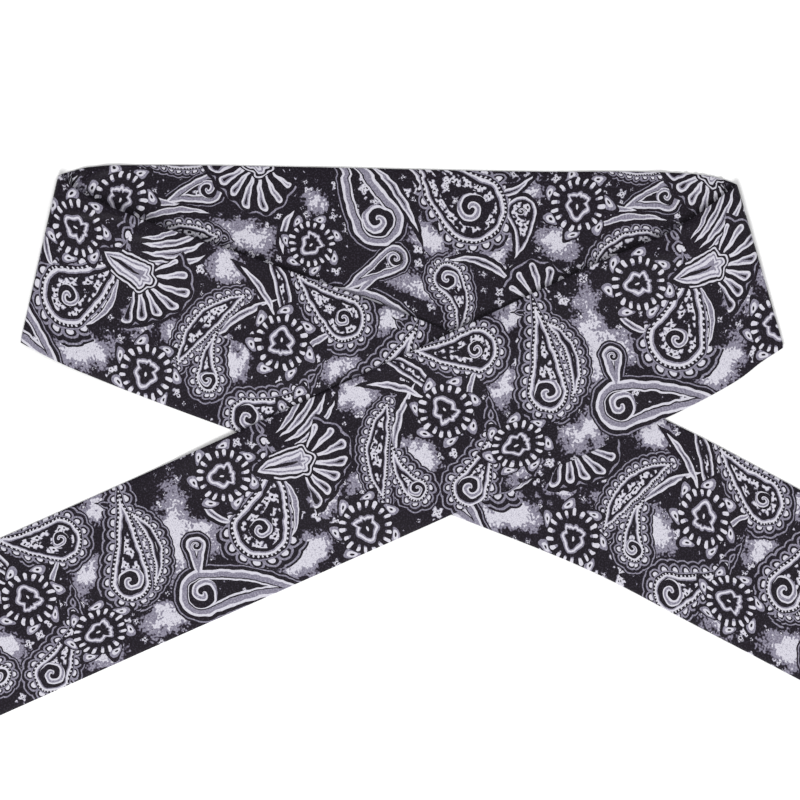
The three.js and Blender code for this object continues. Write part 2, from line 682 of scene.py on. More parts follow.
@dataclass
class NeckBand(Stretch):
    """The stretch behind the neck, flat on the table from seam to seam."""

    def places(self) -> list[float]:
        """Rings from one seam to the other."""
        seam = TURN.lap + TURN.seam_gap
        return spaced(seam, BAND.shaped - seam, self.step)

    def middle(self, place: float, side: float) -> Vector:
        """The band's mid-surface, a pressed thickness over the table."""
        height = PROFILE.middle_half + self.crease_rise(place, side)
        return BAND.plan(place, side).to_3d() + Vector((0, 0, height))

    def print_along(self, lengths: list[float], index: int, place: float, side: float) -> float:
        """Cloth runs from left to right with its front face down, from the left turn.

        Args:
            lengths: The length of cloth from the first ring to each ring.
            index: The ring.
            place: The ring's place; not used.
            side: From -1 at the front edge to 1 at the back; not used.

        Returns:
            The place along the front face's print, in millimetres.
        """
        seam = TURN.lap + TURN.seam_gap
        start = (BAND.shaped - 2 * seam - lengths[-1]) / 2
        return Prints.BAND_START - (seam + start + lengths[index])

    def cut_length(self) -> float:
        """From seam to seam."""
        return (BAND.shaped - 2 * (TURN.lap + TURN.seam_gap)) * MM


@dataclass
class Tail(Stretch):
    """A tail: it turns over at the band's end, lies on what it crosses and ends square.

    Attributes:
        under: The band's course, from this tail's turn.
        run: The tail's own course, from its turn.
        crossed: The tail that this one lies on, where it does.
        heading: 1 where the print grows along the tail, and -1 where it falls.
        print_start: The place along the print at the turn, in millimetres.
        print_slack: Print taken up under the turn, in millimetres.
        print_skew: How much further on the print is at the back edge than at the middle, in
            millimetres.
        lap_step: The spacing of the rings under the turn, in millimetres.
        turn_steps: How many steps the half roll has.
        fine_past: How far past its shaped part the tail keeps fine rings, in millimetres.
        plain_step: The spacing of the rings beyond that, in millimetres.
    """

    under: Course = BAND
    run: Course = RIGHT_RUN
    crossed: Optional[Course] = None
    heading: int = 1
    print_start: float = 0.0
    print_slack: float = 0.0
    print_skew: float = 0.0
    lap_step: float = 2.0
    turn_steps: int = 10
    fine_past: float = 20.0
    plain_step: float = 5.6

    def places(self) -> list[float]:
        """Rings from the seam, round the turn and out to the closed end.

        Returns:
            Millimetres before the turn where negative, then its angle up to pi, and then pi
            plus the millimetres past it.
        """
        lap = TURN.lap - TURN.back_radius - LAYERS.wall / 2
        fine_end = math.pi + self.run.shaped + self.fine_past
        end = math.pi + TAIL_LENGTH
        return [
            *spaced(-lap, 0, self.lap_step)[:-1],
            *spaced(0, math.pi, math.pi / self.turn_steps),
            *spaced(math.pi, fine_end, self.step)[1:],
            *spaced(fine_end, end - END_HEM, self.plain_step)[1:],
            *(end - inset for inset in END_RINGS),
        ]

    def closed_end(self) -> bool:
        """The last ring is the line where the end's edges are turned in and joined."""
        return True

    def rest_height(self, point: Vector) -> float:
        """How high what the tail lies on is at a place.

        Args:
            point: The place, seen from above.

        Returns:
            The height, in millimetres.
        """
        over_band = LAYERS.step * BAND.support(point, LAYERS.margin, LAYERS.reach)
        if self.crossed is None:
            return over_band
        share = self.crossed.support(point, LAYERS.margin, LAYERS.reach)
        return max(over_band, (over_band + LAYERS.step) * share)

    def middle(self, place: float, side: float) -> Vector:
        """The tail's mid-surface: under the turn, round it, or past it.

        Args:
            place: The ring's place.
            side: From -1 at the front edge to 1 at the back.

        Returns:
            The point, in millimetres.
        """
        radius = TURN.radius(side)
        axis = radius + LAYERS.wall / 2
        low = PROFILE.middle_half
        if place < 0:
            return self.under.plan(axis - place, side).to_3d() + Vector((0, 0, low))
        if place <= math.pi:
            inward = axis - radius * math.sin(place)
            share = (1 - math.cos(place)) / 2
            point = self.under.plan(inward, side).lerp(self.run.plan(inward, side), share)
            return point.to_3d() + Vector((0, 0, low + 2 * radius * share))
        along = axis + place - math.pi
        point = self.run.plan(along, side)
        loose = (2 * radius - LAYERS.step) * (1 - ease(axis, TURN.settles, along))
        height = self.rest_height(point) + loose + LIFT.rise(along, side)
        height += self.crease_rise(along, side)
        return point.to_3d() + Vector((0, 0, low + height))

    def print_along(self, lengths: list[float], index: int, place: float, side: float) -> float:
        """Measured back from the square end, so that the print lies true along the tail.

        Args:
            lengths: The length of cloth from the first ring to each ring.
            index: The ring.
            place: The ring's place.
            side: From -1 at the front edge to 1 at the back.

        Returns:
            The place along the front face's print, in millimetres.
        """
        along = TAIL_LENGTH - (lengths[-2] - lengths[min(index, len(lengths) - 2)])
        past_turn = ease(-TURN.lap, 0, min(place, 0.0))
        skewed = self.print_skew * side * past_turn
        slack = self.print_slack * (1 - past_turn)
        return self.print_start + self.heading * along + skewed + slack

    def cut_length(self) -> float:
        """From the seam to the closed end."""
        return (TAIL_LENGTH + TURN.lap + END_HEM) * MM


class Prints:
    """Where each stretch starts along the front face's print, in millimetres."""

    BAND_START = 122.3
    RIGHT_TAIL_START = -60.7
    LEFT_TAIL_START = -2.3


BAND_CREASES = (
    Crease(70, 14, 20, 60, 22, 0.35),
    Crease(128, 20, -15, 50, 26, 0.4),
    Crease(188, 12, 30, 54, 20, 0.3),
    Crease(236, 22, -25, 44, 18, 0.4),
    Crease(13, 33, 78, 16, 2.2, 1.5),
    Crease(19, 30.5, 66, 22, 2.4, 1.3),
    Crease(27, 33.5, 84, 26, 2.2, 1.1),
    Crease(16, 26.5, 58, 18, 2.2, 1.0),
    Crease(272, 32, 8, 12, 2.0, 1.3),
    Crease(276.5, 33, -6, 10, 1.8, 1.2),
    Crease(281, 32, 4, 13, 2.0, 1.4),
    Crease(285.5, 33, -10, 10, 1.8, 1.2),
    Crease(287, 27, -46, 22, 1.9, 1.1),
    Crease(290.5, 28.5, -44, 21, 1.8, 1.3),
    Crease(294, 30, -42, 18, 1.8, 1.4),
    Crease(297, 32.5, -38, 14, 1.7, 1.3),
    Crease(262, 34, 82, 20, 2.2, 0.9),
)
RIGHT_TAIL_CREASES = (
    Crease(8, 32, 84, 14, 2.2, 1.2),
    Crease(13, 28, 68, 24, 2.8, 0.9),
    Crease(24, 33, 86, 28, 2.4, 1.0),
    Crease(37, 29, 76, 26, 3.0, 0.7),
    Crease(62, 10, 25, 50, 24, 0.5),
    Crease(112, -12, -20, 46, 22, 0.5),
    Crease(160, 8, 30, 52, 26, 0.3),
    Crease(232, -10, -25, 48, 24, 0.5),
    Crease(290, 12, 20, 60, 26, 0.6),
    Crease(346, -8, -35, 44, 20, 0.5),
    Crease(405, 14, 28, 56, 24, 0.6),
    Crease(468, -12, -18, 60, 26, 0.5),
    Crease(532, 6, 34, 48, 22, 0.6),
)
LEFT_TAIL_CREASES = (
    Crease(7, 32.5, 83, 16, 2.2, 1.1),
    Crease(12, 29, 66, 22, 2.6, 0.9),
    Crease(21, 32.5, 84, 22, 2.4, 0.9),
    Crease(33, 27, 74, 28, 3.4, 0.7),
    Crease(70, 6, -22, 48, 24, 0.5),
    Crease(121, -10, 24, 50, 24, 0.4),
    Crease(176, 12, -28, 46, 22, 0.4),
    Crease(238, -14, 18, 44, 26, 0.5),
    Crease(297, 8, -30, 56, 22, 0.6),
    Crease(352, -6, 26, 50, 24, 0.5),
    Crease(418, 12, -20, 60, 28, 0.6),
    Crease(476, -10, 32, 46, 20, 0.5),
    Crease(541, 8, -26, 52, 24, 0.6),
)


@dataclass
class SlipStitches:
    """The row of small slip stitches that closes a tail's square end.

    Lengths are in millimetres.

    Attributes:
        name: The piece's name.
        tail: The tail that they close.
        count: How many there are.
        length: Of one stitch.
        thickness: Of the thread.
        lean: Degrees that each leans from the line of the end.
        bevel: The rounding of a stitch's ends, as a share of its thickness.
        reach: How far out the row starts and ends, as a share of the half width.
    """

    name: str
    tail: Tail
    count: int = 24
    length: float = 2.0
    thickness: float = 0.32
    lean: float = 28.0
    bevel: float = 0.35
    reach: float = 0.96

    def stitch(self) -> bpy.types.Object:
        """Models one stitch with rounded ends, on its side at the frame's middle.

        Returns:
            The stitch.
        """
        bpy.ops.object.select_all(action="DESELECT")
        bpy.ops.mesh.primitive_cylinder_add(
            vertices=10,
            radius=self.thickness / 2 * MM,
            depth=self.length * MM,
            rotation=(math.pi / 2, 0, 0),
        )
        stitch = bpy.context.active_object
        bpy.ops.object.transform_apply(location=True, rotation=True, scale=True)
        bpy.ops.object.mode_set(mode="EDIT")
        bpy.ops.mesh.select_all(action="SELECT")
        bpy.ops.mesh.bevel(offset=self.thickness * self.bevel * MM, segments=2, affect="EDGES")
        bpy.ops.object.mode_set(mode="OBJECT")
        bpy.ops.object.shade_smooth()
        return stitch

    def build(self, footing: Vector) -> bpy.types.Object:
        """Copies the stitch along the tail's end and joins the row.

        Args:
            footing: The middle of the loop in the part's frame, in millimetres.

        Returns:
            The finished object.
        """
        first = self.stitch()
        row = [first]
        for _ in range(self.count - 1):
            own = first.copy()
            own.data = first.data.copy()
            bpy.context.scene.collection.objects.link(own)
            row.append(own)
        end = self.tail.places()[-2]
        nearby = 0.02
        for index, own in enumerate(row):
            side = 2 * self.reach * index / (self.count - 1) - self.reach
            place = self.tail.middle(end, side) + footing
            ahead = self.tail.middle(end, side + nearby) - self.tail.middle(end, side - nearby)
            turn = math.atan2(-ahead.x, ahead.y) + math.radians(self.lean)
            own.data.transform(Matrix.Translation(place * MM) @ Matrix.Rotation(turn, 4, "Z"))
        bpy.ops.object.select_all(action="DESELECT")
        for own in row:
            own.select_set(True)
        bpy.context.view_layer.objects.active = first
        bpy.ops.object.join()
        first.name = self.name
        first.data.name = self.name
        return first

    def dress(self, piece: bpy.types.Object, thread: bpy.types.Material) -> None:
        """Gives the row its thread and its place in the frame.

        Args:
            piece: The joined row.
            thread: Its material.
        """
        piece.data.materials.clear()
        piece.data.materials.append(thread)
        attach(piece, "root")


# ------------------------------------------------------------- formulas in shader nodes


Number = Union["Formula", float]
Triple = tuple[float, float, float]


def feed(socket: bpy.types.NodeSocket, value: Number) -> None:
    """Links a formula to a socket, or sets the socket to a plain number.

    Args:
        socket: The input.
        value: What it takes.
    """
    if isinstance(value, Formula):
        socket.id_data.links.new(value.socket, socket)
    else:
        socket.default_value = value


class Formula:
    """A number that shader nodes work out, written as plain arithmetic."""

    def __init__(self, socket: bpy.types.NodeSocket) -> None:
        """Wraps the output that carries the number."""
        self.socket = socket

    def apply(self, operation: str, *others: Number) -> "Formula":
        """Puts the number through a Math node.

        Args:
            operation: The node's operation.
            others: The node's further inputs.

        Returns:
            The node's result.
        """
        node = self.socket.id_data.nodes.new("ShaderNodeMath")
        node.operation = operation
        for socket, value in zip(node.inputs, (self, *others)):
            feed(socket, value)
        return Formula(node.outputs[0])

    def __add__(self, other: Number) -> "Formula":
        """The sum."""
        return self.apply("ADD", other)

    def __sub__(self, other: Number) -> "Formula":
        """The difference."""
        return self.apply("SUBTRACT", other)

    def __mul__(self, other: Number) -> "Formula":
        """The product."""
        return self.apply("MULTIPLY", other)

    def __truediv__(self, other: Number) -> "Formula":
        """The quotient."""
        return self.apply("DIVIDE", other)

    def __lt__(self, other: Number) -> "Formula":
        """1 where the number is less, and 0 elsewhere."""
        return self.apply("LESS_THAN", other)

    def __gt__(self, other: Number) -> "Formula":
        """1 where the number is greater, and 0 elsewhere."""
        return self.apply("GREATER_THAN", other)

    def __abs__(self) -> "Formula":
        """The number without its sign."""
        return self.apply("ABSOLUTE")

    def times_plus(self, factor: Number, term: Number) -> "Formula":
        """The number times a factor, plus a term."""
        return self.apply("MULTIPLY_ADD", factor, term)

    def cos(self) -> "Formula":
        """The cosine."""
        return self.apply("COSINE")

    def sin(self) -> "Formula":
        """The sine."""
        return self.apply("SINE")

    def least(self, other: Number) -> "Formula":
        """The lesser of two numbers."""
        return self.apply("MINIMUM", other)

    def most(self, other: Number) -> "Formula":
        """The greater of two numbers."""
        return self.apply("MAXIMUM", other)

    def cell(self, width: float) -> "Formula":
        """The number's place in a row of cells, from minus to plus half a cell."""
        return self.apply("WRAP", width / 2, -width / 2)

    def hypot(self, other: "Formula") -> "Formula":
        """The length of the vector of two numbers."""
        return self.times_plus(self, other * other).apply("SQRT")


def choose(factor: Formula, no: Number, yes: Number) -> Formula:
    """A number where the factor is 0, and another where it is 1.

    Args:
        factor: From 0 to 1.
        no: The number at 0.
        yes: The number at 1.

    Returns:
        The chosen number.
    """
    node = factor.socket.id_data.nodes.new("ShaderNodeMix")
    feed(node.inputs["Factor"], factor)
    feed(node.inputs["A"], no)
    feed(node.inputs["B"], yes)
    return Formula(node.outputs["Result"])


class Spot:
    """A point that shader nodes work out."""

    def __init__(self, socket: bpy.types.NodeSocket) -> None:
        """Wraps the output that carries the point."""
        self.socket = socket

    def through(self, kind: str, operation: Optional[str] = None) -> bpy.types.Node:
        """Puts the point into a new node.

        Args:
            kind: The node's type.
            operation: Its operation, if it has one.

        Returns:
            The node.
        """
        node = self.socket.id_data.nodes.new(kind)
        if operation:
            node.operation = operation
        node.id_data.links.new(self.socket, node.inputs["Vector"])
        return node

    @classmethod
    def of(cls, x: Formula, y: Number, z: Number = 0.0) -> "Spot":
        """The point with formulas or plain numbers as its coordinates.

        Args:
            x: The first.
            y: The second.
            z: The third.

        Returns:
            The point.
        """
        node = x.socket.id_data.nodes.new("ShaderNodeCombineXYZ")
        for socket, value in zip(node.inputs, (x, y, z)):
            feed(socket, value)
        return cls(node.outputs[0])

    def parts(self) -> list[Formula]:
        """Its three coordinates."""
        return [Formula(socket) for socket in self.through("ShaderNodeSeparateXYZ").outputs]

    def length(self) -> Formula:
        """Its distance from the origin."""
        return Formula(self.through("ShaderNodeVectorMath", "LENGTH").outputs["Value"])

    def polar(self) -> tuple[Formula, Formula]:
        """Its distance from the origin, and its angle from -pi to pi."""
        x, y, _ = self.parts()
        return self.length(), y.apply("ARCTAN2", x)

    def minus(self, other: "Spot") -> "Spot":
        """The way to this point from another.

        Args:
            other: The other point.

        Returns:
            The way, as a point seen from the other.
        """
        node = self.through("ShaderNodeVectorMath", "SUBTRACT")
        node.id_data.links.new(other.socket, node.inputs[1])
        return Spot(node.outputs["Vector"])

    def placed(self, x: float, y: float, turn: float, scale: tuple[float, float]) -> "Spot":
        """The point in the measure of something placed on the cloth.

        Args:
            x: Where it is placed.
            y: Where it is placed, towards the back.
            turn: Degrees that it is turned, to the left.
            scale: Its size along and across; a minus sign mirrors it.

        Returns:
            The point as seen from there.
        """
        node = self.through("ShaderNodeMapping")
        node.vector_type = "TEXTURE"
        node.inputs["Location"].default_value = (x, y, 0.0)
        node.inputs["Rotation"].default_value = (0.0, 0.0, math.radians(turn))
        node.inputs["Scale"].default_value = (*scale, 1.0)
        return Spot(node.outputs["Vector"])


def pick(factor: Formula, no: Union[Spot, Triple], yes: Union[Spot, Triple]) -> Spot:
    """A point, or three plain numbers, where the factor is 0, and another where it is 1.

    Args:
        factor: 0 or 1.
        no: The choice at 0.
        yes: The choice at 1.

    Returns:
        The chosen point.
    """
    node = factor.socket.id_data.nodes.new("ShaderNodeMix")
    node.data_type = "VECTOR"
    feed(node.inputs["Factor"], factor)
    inputs = [socket for socket in node.inputs if socket.type == "VECTOR" and socket.name in "AB"]
    for socket, value in zip(inputs, (no, yes)):
        if isinstance(value, Spot):
            node.id_data.links.new(value.socket, socket)
        else:
            socket.default_value = value
    return Spot(node.outputs[1])


class Tone(Enum):
    """A tone of the print: its lightness, its cover and its room for small flowers.

    The cover is 1 where it hides what lies below. The room is 1 for loose flowers, 0.5 for a
    lace of touching ones, and 0 for none.
    """

    NONE = (0.0, 0.0, 0.0)
    OPEN = (0.0, 1.0, 1.0)
    LACE = (0.0, 1.0, 0.5)
    BLACK = (0.0, 1.0, 0.0)
    DARK = (0.33, 1.0, 0.0)
    GREY = (0.66, 1.0, 0.0)
    LIGHT = (1.0, 1.0, 0.0)

    @property
    def colour(self) -> tuple[float, float, float, float]:
        """The three numbers as a colour that a drawing carries."""
        return (*self.value, 1.0)


class Drawing:
    """What a motif puts on the cloth: the three numbers of a tone, carried as one colour."""

    def __init__(self, socket: bpy.types.NodeSocket) -> None:
        """Wraps the output that carries the drawing."""
        self.socket = socket

    def part(self, channel: str) -> Formula:
        """One of its three numbers.

        Args:
            channel: Red for its lightness, Green for its cover, Blue for its room.

        Returns:
            The number.
        """
        node = self.socket.id_data.nodes.new("ShaderNodeSeparateColor")
        node.id_data.links.new(self.socket, node.inputs[0])
        return Formula(node.outputs[channel])

    def touched(self, mask: Formula, other: Union["Drawing", Tone]) -> "Drawing":
        """This drawing, with another or a plain tone where a mask is 1.

        Args:
            mask: 0 or 1.
            other: What replaces this drawing there.

        Returns:
            The two together.
        """
        node = self.socket.id_data.nodes.new("ShaderNodeMix")
        node.data_type = "RGBA"
        feed(node.inputs[0], mask)
        first, second = [socket for socket in node.inputs if socket.type == "RGBA"]
        node.id_data.links.new(self.socket, first)
        if isinstance(other, Drawing):
            node.id_data.links.new(other.socket, second)
        else:
            second.default_value = other.colour
        return Drawing(node.outputs[2])

    def over(self, below: "Drawing") -> "Drawing":
        """This drawing laid over another."""
        return below.touched(self.part("Green"), self)

    def unless(self, mask: Formula) -> "Drawing":
        """This drawing, with nothing where a mask is 1."""
        return self.touched(mask, Tone.NONE)


Rows = Sequence[tuple[float, Tone]]


def bands(level: Formula, start: float, rows: Rows) -> Drawing:
    """Tones side by side, by distance.

    Args:
        level: The distance.
        start: Where the first row starts; below it, that row goes on.
        rows: How far each tone reaches, and the tone. Past the last is nothing.

    Returns:
        The tones.
    """
    tree = level.socket.id_data
    span = rows[-1][0] - start
    node = tree.nodes.new("ShaderNodeValToRGB")
    ramp = node.color_ramp
    ramp.interpolation = "CONSTANT"
    ramp.elements.remove(ramp.elements[-1])
    edge = start
    for index, (reach, tone) in enumerate(rows):
        place = (edge - start) / span
        element = ramp.elements.new(place) if index else ramp.elements[0]
        element.position = place
        element.color = tone.colour
        edge = reach
    past_all = 0.999
    ramp.elements.new(past_all).color = Tone.NONE.colour
    feed(node.inputs[0], level.times_plus(1 / span, -start / span))
    return Drawing(node.outputs["Color"])


class Group:
    """A shader node group that is being made, with numbers as its inputs."""

    def __init__(self, name: str, inputs: Sequence[str], output: str, kind: str = "Color") -> None:
        """Starts the group.

        Args:
            name: Its name.
            inputs: The names of its inputs.
            output: The name of its one output.
            kind: Color or Float.
        """
        self.tree = bpy.data.node_groups.new(name, "ShaderNodeTree")
        for title in inputs:
            self.tree.interface.new_socket(title, in_out="INPUT", socket_type="NodeSocketFloat")
        self.tree.interface.new_socket(output, in_out="OUTPUT", socket_type=f"NodeSocket{kind}")
        entry = self.tree.nodes.new("NodeGroupInput")
        self.exit = self.tree.nodes.new("NodeGroupOutput")
        self.inputs = [Formula(entry.outputs[title]) for title in inputs]

    def close(self, value: Union[Drawing, Formula]) -> bpy.types.NodeTree:
        """Puts out a result and hands over the finished group."""
        self.tree.links.new(value.socket, self.exit.inputs[0])
        return self.tree


def place_group(group: bpy.types.NodeTree, *values: Formula) -> bpy.types.NodeSocket:
    """Places a node group and feeds its inputs in order.

    Args:
        group: The group.
        values: What its inputs take.

    Returns:
        Its output.
    """
    node = values[0].socket.id_data.nodes.new("ShaderNodeGroup")
    node.node_tree = group
    for socket, value in zip(node.inputs, values):
        feed(socket, value)
    return node.outputs[0]


@dataclass(frozen=True)
class Noise:
    """Soft noise over the cloth.

    Attributes:
        grain: The size of its features, in millimetres.
        detail: How many finer layers it has.
        rough: How strong they are.
    """

    grain: float
    detail: float = 2.0
    rough: float = 0.5

    def node(self, spot: Spot) -> bpy.types.Node:
        """Makes the noise node for a point.

        Args:
            spot: The point.

        Returns:
            The node.
        """
        node = spot.through("ShaderNodeTexNoise")
        node.noise_dimensions = "2D"
        node.inputs["Scale"].default_value = 1 / self.grain
        node.inputs["Detail"].default_value = self.detail
        node.inputs["Roughness"].default_value = self.rough
        return node

    def value(self, spot: Spot) -> Formula:
        """The noise at a point, about 0 and mostly within a quarter."""
        return Formula(self.node(spot).outputs["Fac"]) - 0.5

    def shift(self, spot: Spot, amount: float) -> Spot:
        """The point, moved by the noise.

        Args:
            spot: The point.
            amount: How far the full range of the noise moves it, in millimetres.

        Returns:
            The moved point.
        """
        tree = spot.socket.id_data
        noise = self.node(spot)
        node = tree.nodes.new("ShaderNodeVectorMath")
        node.operation = "MULTIPLY_ADD"
        tree.links.new(noise.outputs["Color"], node.inputs[0])
        node.inputs[1].default_value = (amount, amount, 0.0)
        tree.links.new(spot.socket, node.inputs[2])
        return Spot(node.outputs["Vector"])


# -------------------------------------------------------------------- the print: motifs


class Style(Enum):
    """How a curved shape of the print is dressed."""

    RICH = 0
    BOLD = 1
    LEAF = 2
    STEM = 3


@dataclass(frozen=True)
class Motif:
    """A round motif's place in the repeat, in millimetres.

    Attributes:
        x: Its middle along the repeat.
        y: Its middle towards the back.
        turn: Its turn, in degrees.
        size: Its scale.
        squash: How much narrower it is across than along.
    """

    x: float
    y: float
    turn: float = 0.0
    size: float = 1.0
    squash: float = 1.0


@dataclass(frozen=True)
class Blotch:
    """A ragged light patch in the ground, in millimetres.

    Attributes:
        x: Its middle along the repeat.
        y: Its middle towards the back.
        half_length: Half its length.
        half_width: Half its width.
        turn: Its turn, in degrees.
    """

    x: float
    y: float
    half_length: float
    half_width: float
    turn: float = 0.0


class Cloth:
    """The plane of the print, with its repeat cut at two seams so that no motif is cut."""

    def __init__(self, spot: Spot, period: float) -> None:
        """Wraps a point into the repeat.

        Args:
            spot: The point, in millimetres.
            period: The length of the repeat.
        """
        x, y, _ = spot.parts()
        self.period = period
        self.whole = Spot.of(x.apply("WRAP", period, 0.0), y)
        self.shifted = Spot.of(x.apply("WRAP", period / 2, -period / 2), y)

    def place(self, x: float, y: float, turn: float, along: float, across: float) -> Spot:
        """The point as seen from something placed on the cloth.

        Args:
            x: Its place along the repeat.
            y: Its place towards the back.
            turn: Its turn, in degrees.
            along: Its size along itself.
            across: Its size across itself.

        Returns:
            The point in its measure.
        """
        x = x % self.period
        inside = self.period / 4 < x < self.period * 3 / 4
        if not inside and x > self.period / 2:
            x -= self.period
        spot = self.whole if inside else self.shifted
        return spot.placed(x, y, turn, (along, across))


@dataclass(frozen=True)
class Boteh:
    """A curled teardrop with a spiral in its bulb.

    Attributes:
        x: The middle of its bulb along the repeat.
        y: The middle of its bulb towards the back.
        turn: The direction of its tip, in degrees.
        bulb: The bulb's radius.
        reach: From the bulb's middle to the tip.
        curl: Radians that the tip curls to the left for each millimetre.
        eye: The share of the bulb's radius that the spiral fills.
        style: Its dress.
        scale: The scale of that dress.
        HELD: The share of the bulb's radius that doesn't curl.
    """

    HELD: ClassVar[float] = 0.6

    x: float
    y: float
    turn: float
    bulb: float
    reach: float
    curl: float = 0.0
    eye: float = 0.6
    style: Style = Style.RICH
    scale: float = 1.0

    def measure(self, cloth: Cloth) -> tuple[Formula, Spot]:
        """Measures a point of the cloth from the boteh.

        Args:
            cloth: The plane of the print.

        Returns:
            How far the point lies outside the edge, and its distance and angle from the
            bulb's middle with the spiral's radius.
        """
        mirror = -1.0 if self.curl < 0 else 1.0
        radius, turn = cloth.place(self.x, self.y, self.turn, 1.0, mirror).polar()
        held = self.bulb * self.HELD
        turn = (radius - held).most(0.0).times_plus(-abs(self.curl), turn)
        along = turn.cos() * radius
        side = along.times_plus(self.bulb / self.reach, abs(turn.sin() * radius))
        level = choose(along > 0.0, radius, side) - self.bulb
        return level, Spot.of(radius, turn, self.eye * self.bulb)

    def kind(self) -> Triple:
        """What its dress depends on."""
        return (self.bulb, float(self.style.value), self.scale)


@dataclass(frozen=True)
class Sickle:
    """A curved leaf or stem that narrows to both ends.

    Attributes:
        x: Its middle along the repeat.
        y: Its middle towards the back.
        turn: The direction that it runs there, in degrees.
        length: Along its curve.
        width: At its middle.
        bend: The radius that it curves with, to the left, or to the right if negative.
        style: Its dress.
        scale: The scale of that dress.
        PAST_BULBS: The distance that its middle reports, which no bulb's spiral reaches.
    """

    PAST_BULBS: ClassVar[float] = 500.0

    x: float
    y: float
    turn: float
    length: float
    width: float
    bend: float
    style: Style = Style.LEAF
    scale: float = 1.0

    def measure(self, cloth: Cloth) -> tuple[Formula, Spot]:
        """Measures a point of the cloth from the leaf or stem.

        Args:
            cloth: The plane of the print.

        Returns:
            How far the point lies outside the edge, and how far along it the point is.
        """
        way = math.radians(self.turn + 90)
        x = self.x + math.cos(way) * self.bend
        y = self.y + math.sin(way) * self.bend
        radius = abs(self.bend)
        back = self.turn - 90 if self.bend > 0 else self.turn + 90
        distance, turn = cloth.place(x, y, back, 1.0, 1.0).polar()
        half = self.width / 2
        narrowing = half / (self.length / 2 / radius) ** 2
        level = (turn * turn).times_plus(narrowing, abs(distance - radius)) - half
        return level, Spot.of(turn.times_plus(radius, self.PAST_BULBS), 0.0)

    def kind(self) -> Triple:
        """What its dress depends on."""
        return (self.width, float(self.style.value), self.scale)


def curve_dress() -> bpy.types.NodeTree:
    """The dress of botehs, leaves and stems, by the distance from their edge.

    Returns:
        The node group.
    """
    names = ("Level", "Radius", "Turn", "Eye", "Bulb", "Style", "Scale")
    group = Group("Curve Dress", names, "Drawing")
    level, radius, turn, eye, bulb, style, scale = group.inputs
    level = level / scale
    along = turn.cos() * radius
    round_bulb = abs(turn).times_plus(-1.0, math.pi / 2) * bulb
    run = choose(along > 0.0, round_bulb, along) / scale
    rich = bands(
        level,
        -9.0,
        [
            (-6.8, Tone.OPEN),
            (-4.3, Tone.LACE),
            (-3.1, Tone.BLACK),
            (-2.6, Tone.GREY),
            (-1.8, Tone.LIGHT),
            (-0.7, Tone.BLACK),
            (-0.2, Tone.GREY),
            (0.7, Tone.BLACK),
        ],
    )
    bead_pitch, bead_line, bead_radius = 1.7, 1.4, 0.36
    bead = run.cell(bead_pitch).hypot(level + bead_line)
    rich = rich.touched(bead < bead_radius, Tone.LIGHT)
    scallop_pitch, scallop_line = 4.7, 0.2
    scallop = bands(
        run.cell(scallop_pitch).hypot(level - scallop_line),
        0.0,
        [
            (1.1, Tone.LIGHT),
            (1.8, Tone.BLACK),
            (2.5, Tone.GREY),
            (3.7, Tone.BLACK),
            (4.3, Tone.GREY),
            (5.0, Tone.BLACK),
        ],
    ).unless(level < -0.1)
    rich = scallop.over(rich)
    bold = bands(
        level,
        -9.0,
        [
            (-4.6, Tone.OPEN),
            (-3.8, Tone.LIGHT),
            (-3.3, Tone.BLACK),
            (-1.2, Tone.GREY),
            (0.0, Tone.LIGHT),
            (1.6, Tone.BLACK),
            (2.2, Tone.GREY),
            (3.0, Tone.BLACK),
        ],
    )
    leaf = bands(
        level,
        -6.0,
        [
            (-2.3, Tone.LACE),
            (-1.3, Tone.BLACK),
            (-0.8, Tone.GREY),
            (0.0, Tone.LIGHT),
            (1.5, Tone.BLACK),
        ],
    )
    stem = bands(level, -3.0, [(-0.55, Tone.GREY), (0.0, Tone.LIGHT), (1.2, Tone.BLACK)])
    dressed = rich.touched(style > 0.5, bold)
    dressed = dressed.touched(style > 1.5, leaf)
    dressed = dressed.touched(style > 2.5, stem)
    windings = 1.1
    winding = (radius / eye).times_plus(windings, turn * (-1 / math.tau)).cell(1.0)
    spiral = bands(
        winding,
        -0.5,
        [
            (-0.2, Tone.BLACK),
            (-0.04, Tone.LIGHT),
            (0.16, Tone.GREY),
            (0.28, Tone.LIGHT),
            (0.5, Tone.BLACK),
        ],
    )
    return group.close(dressed.touched(radius < eye, spiral))


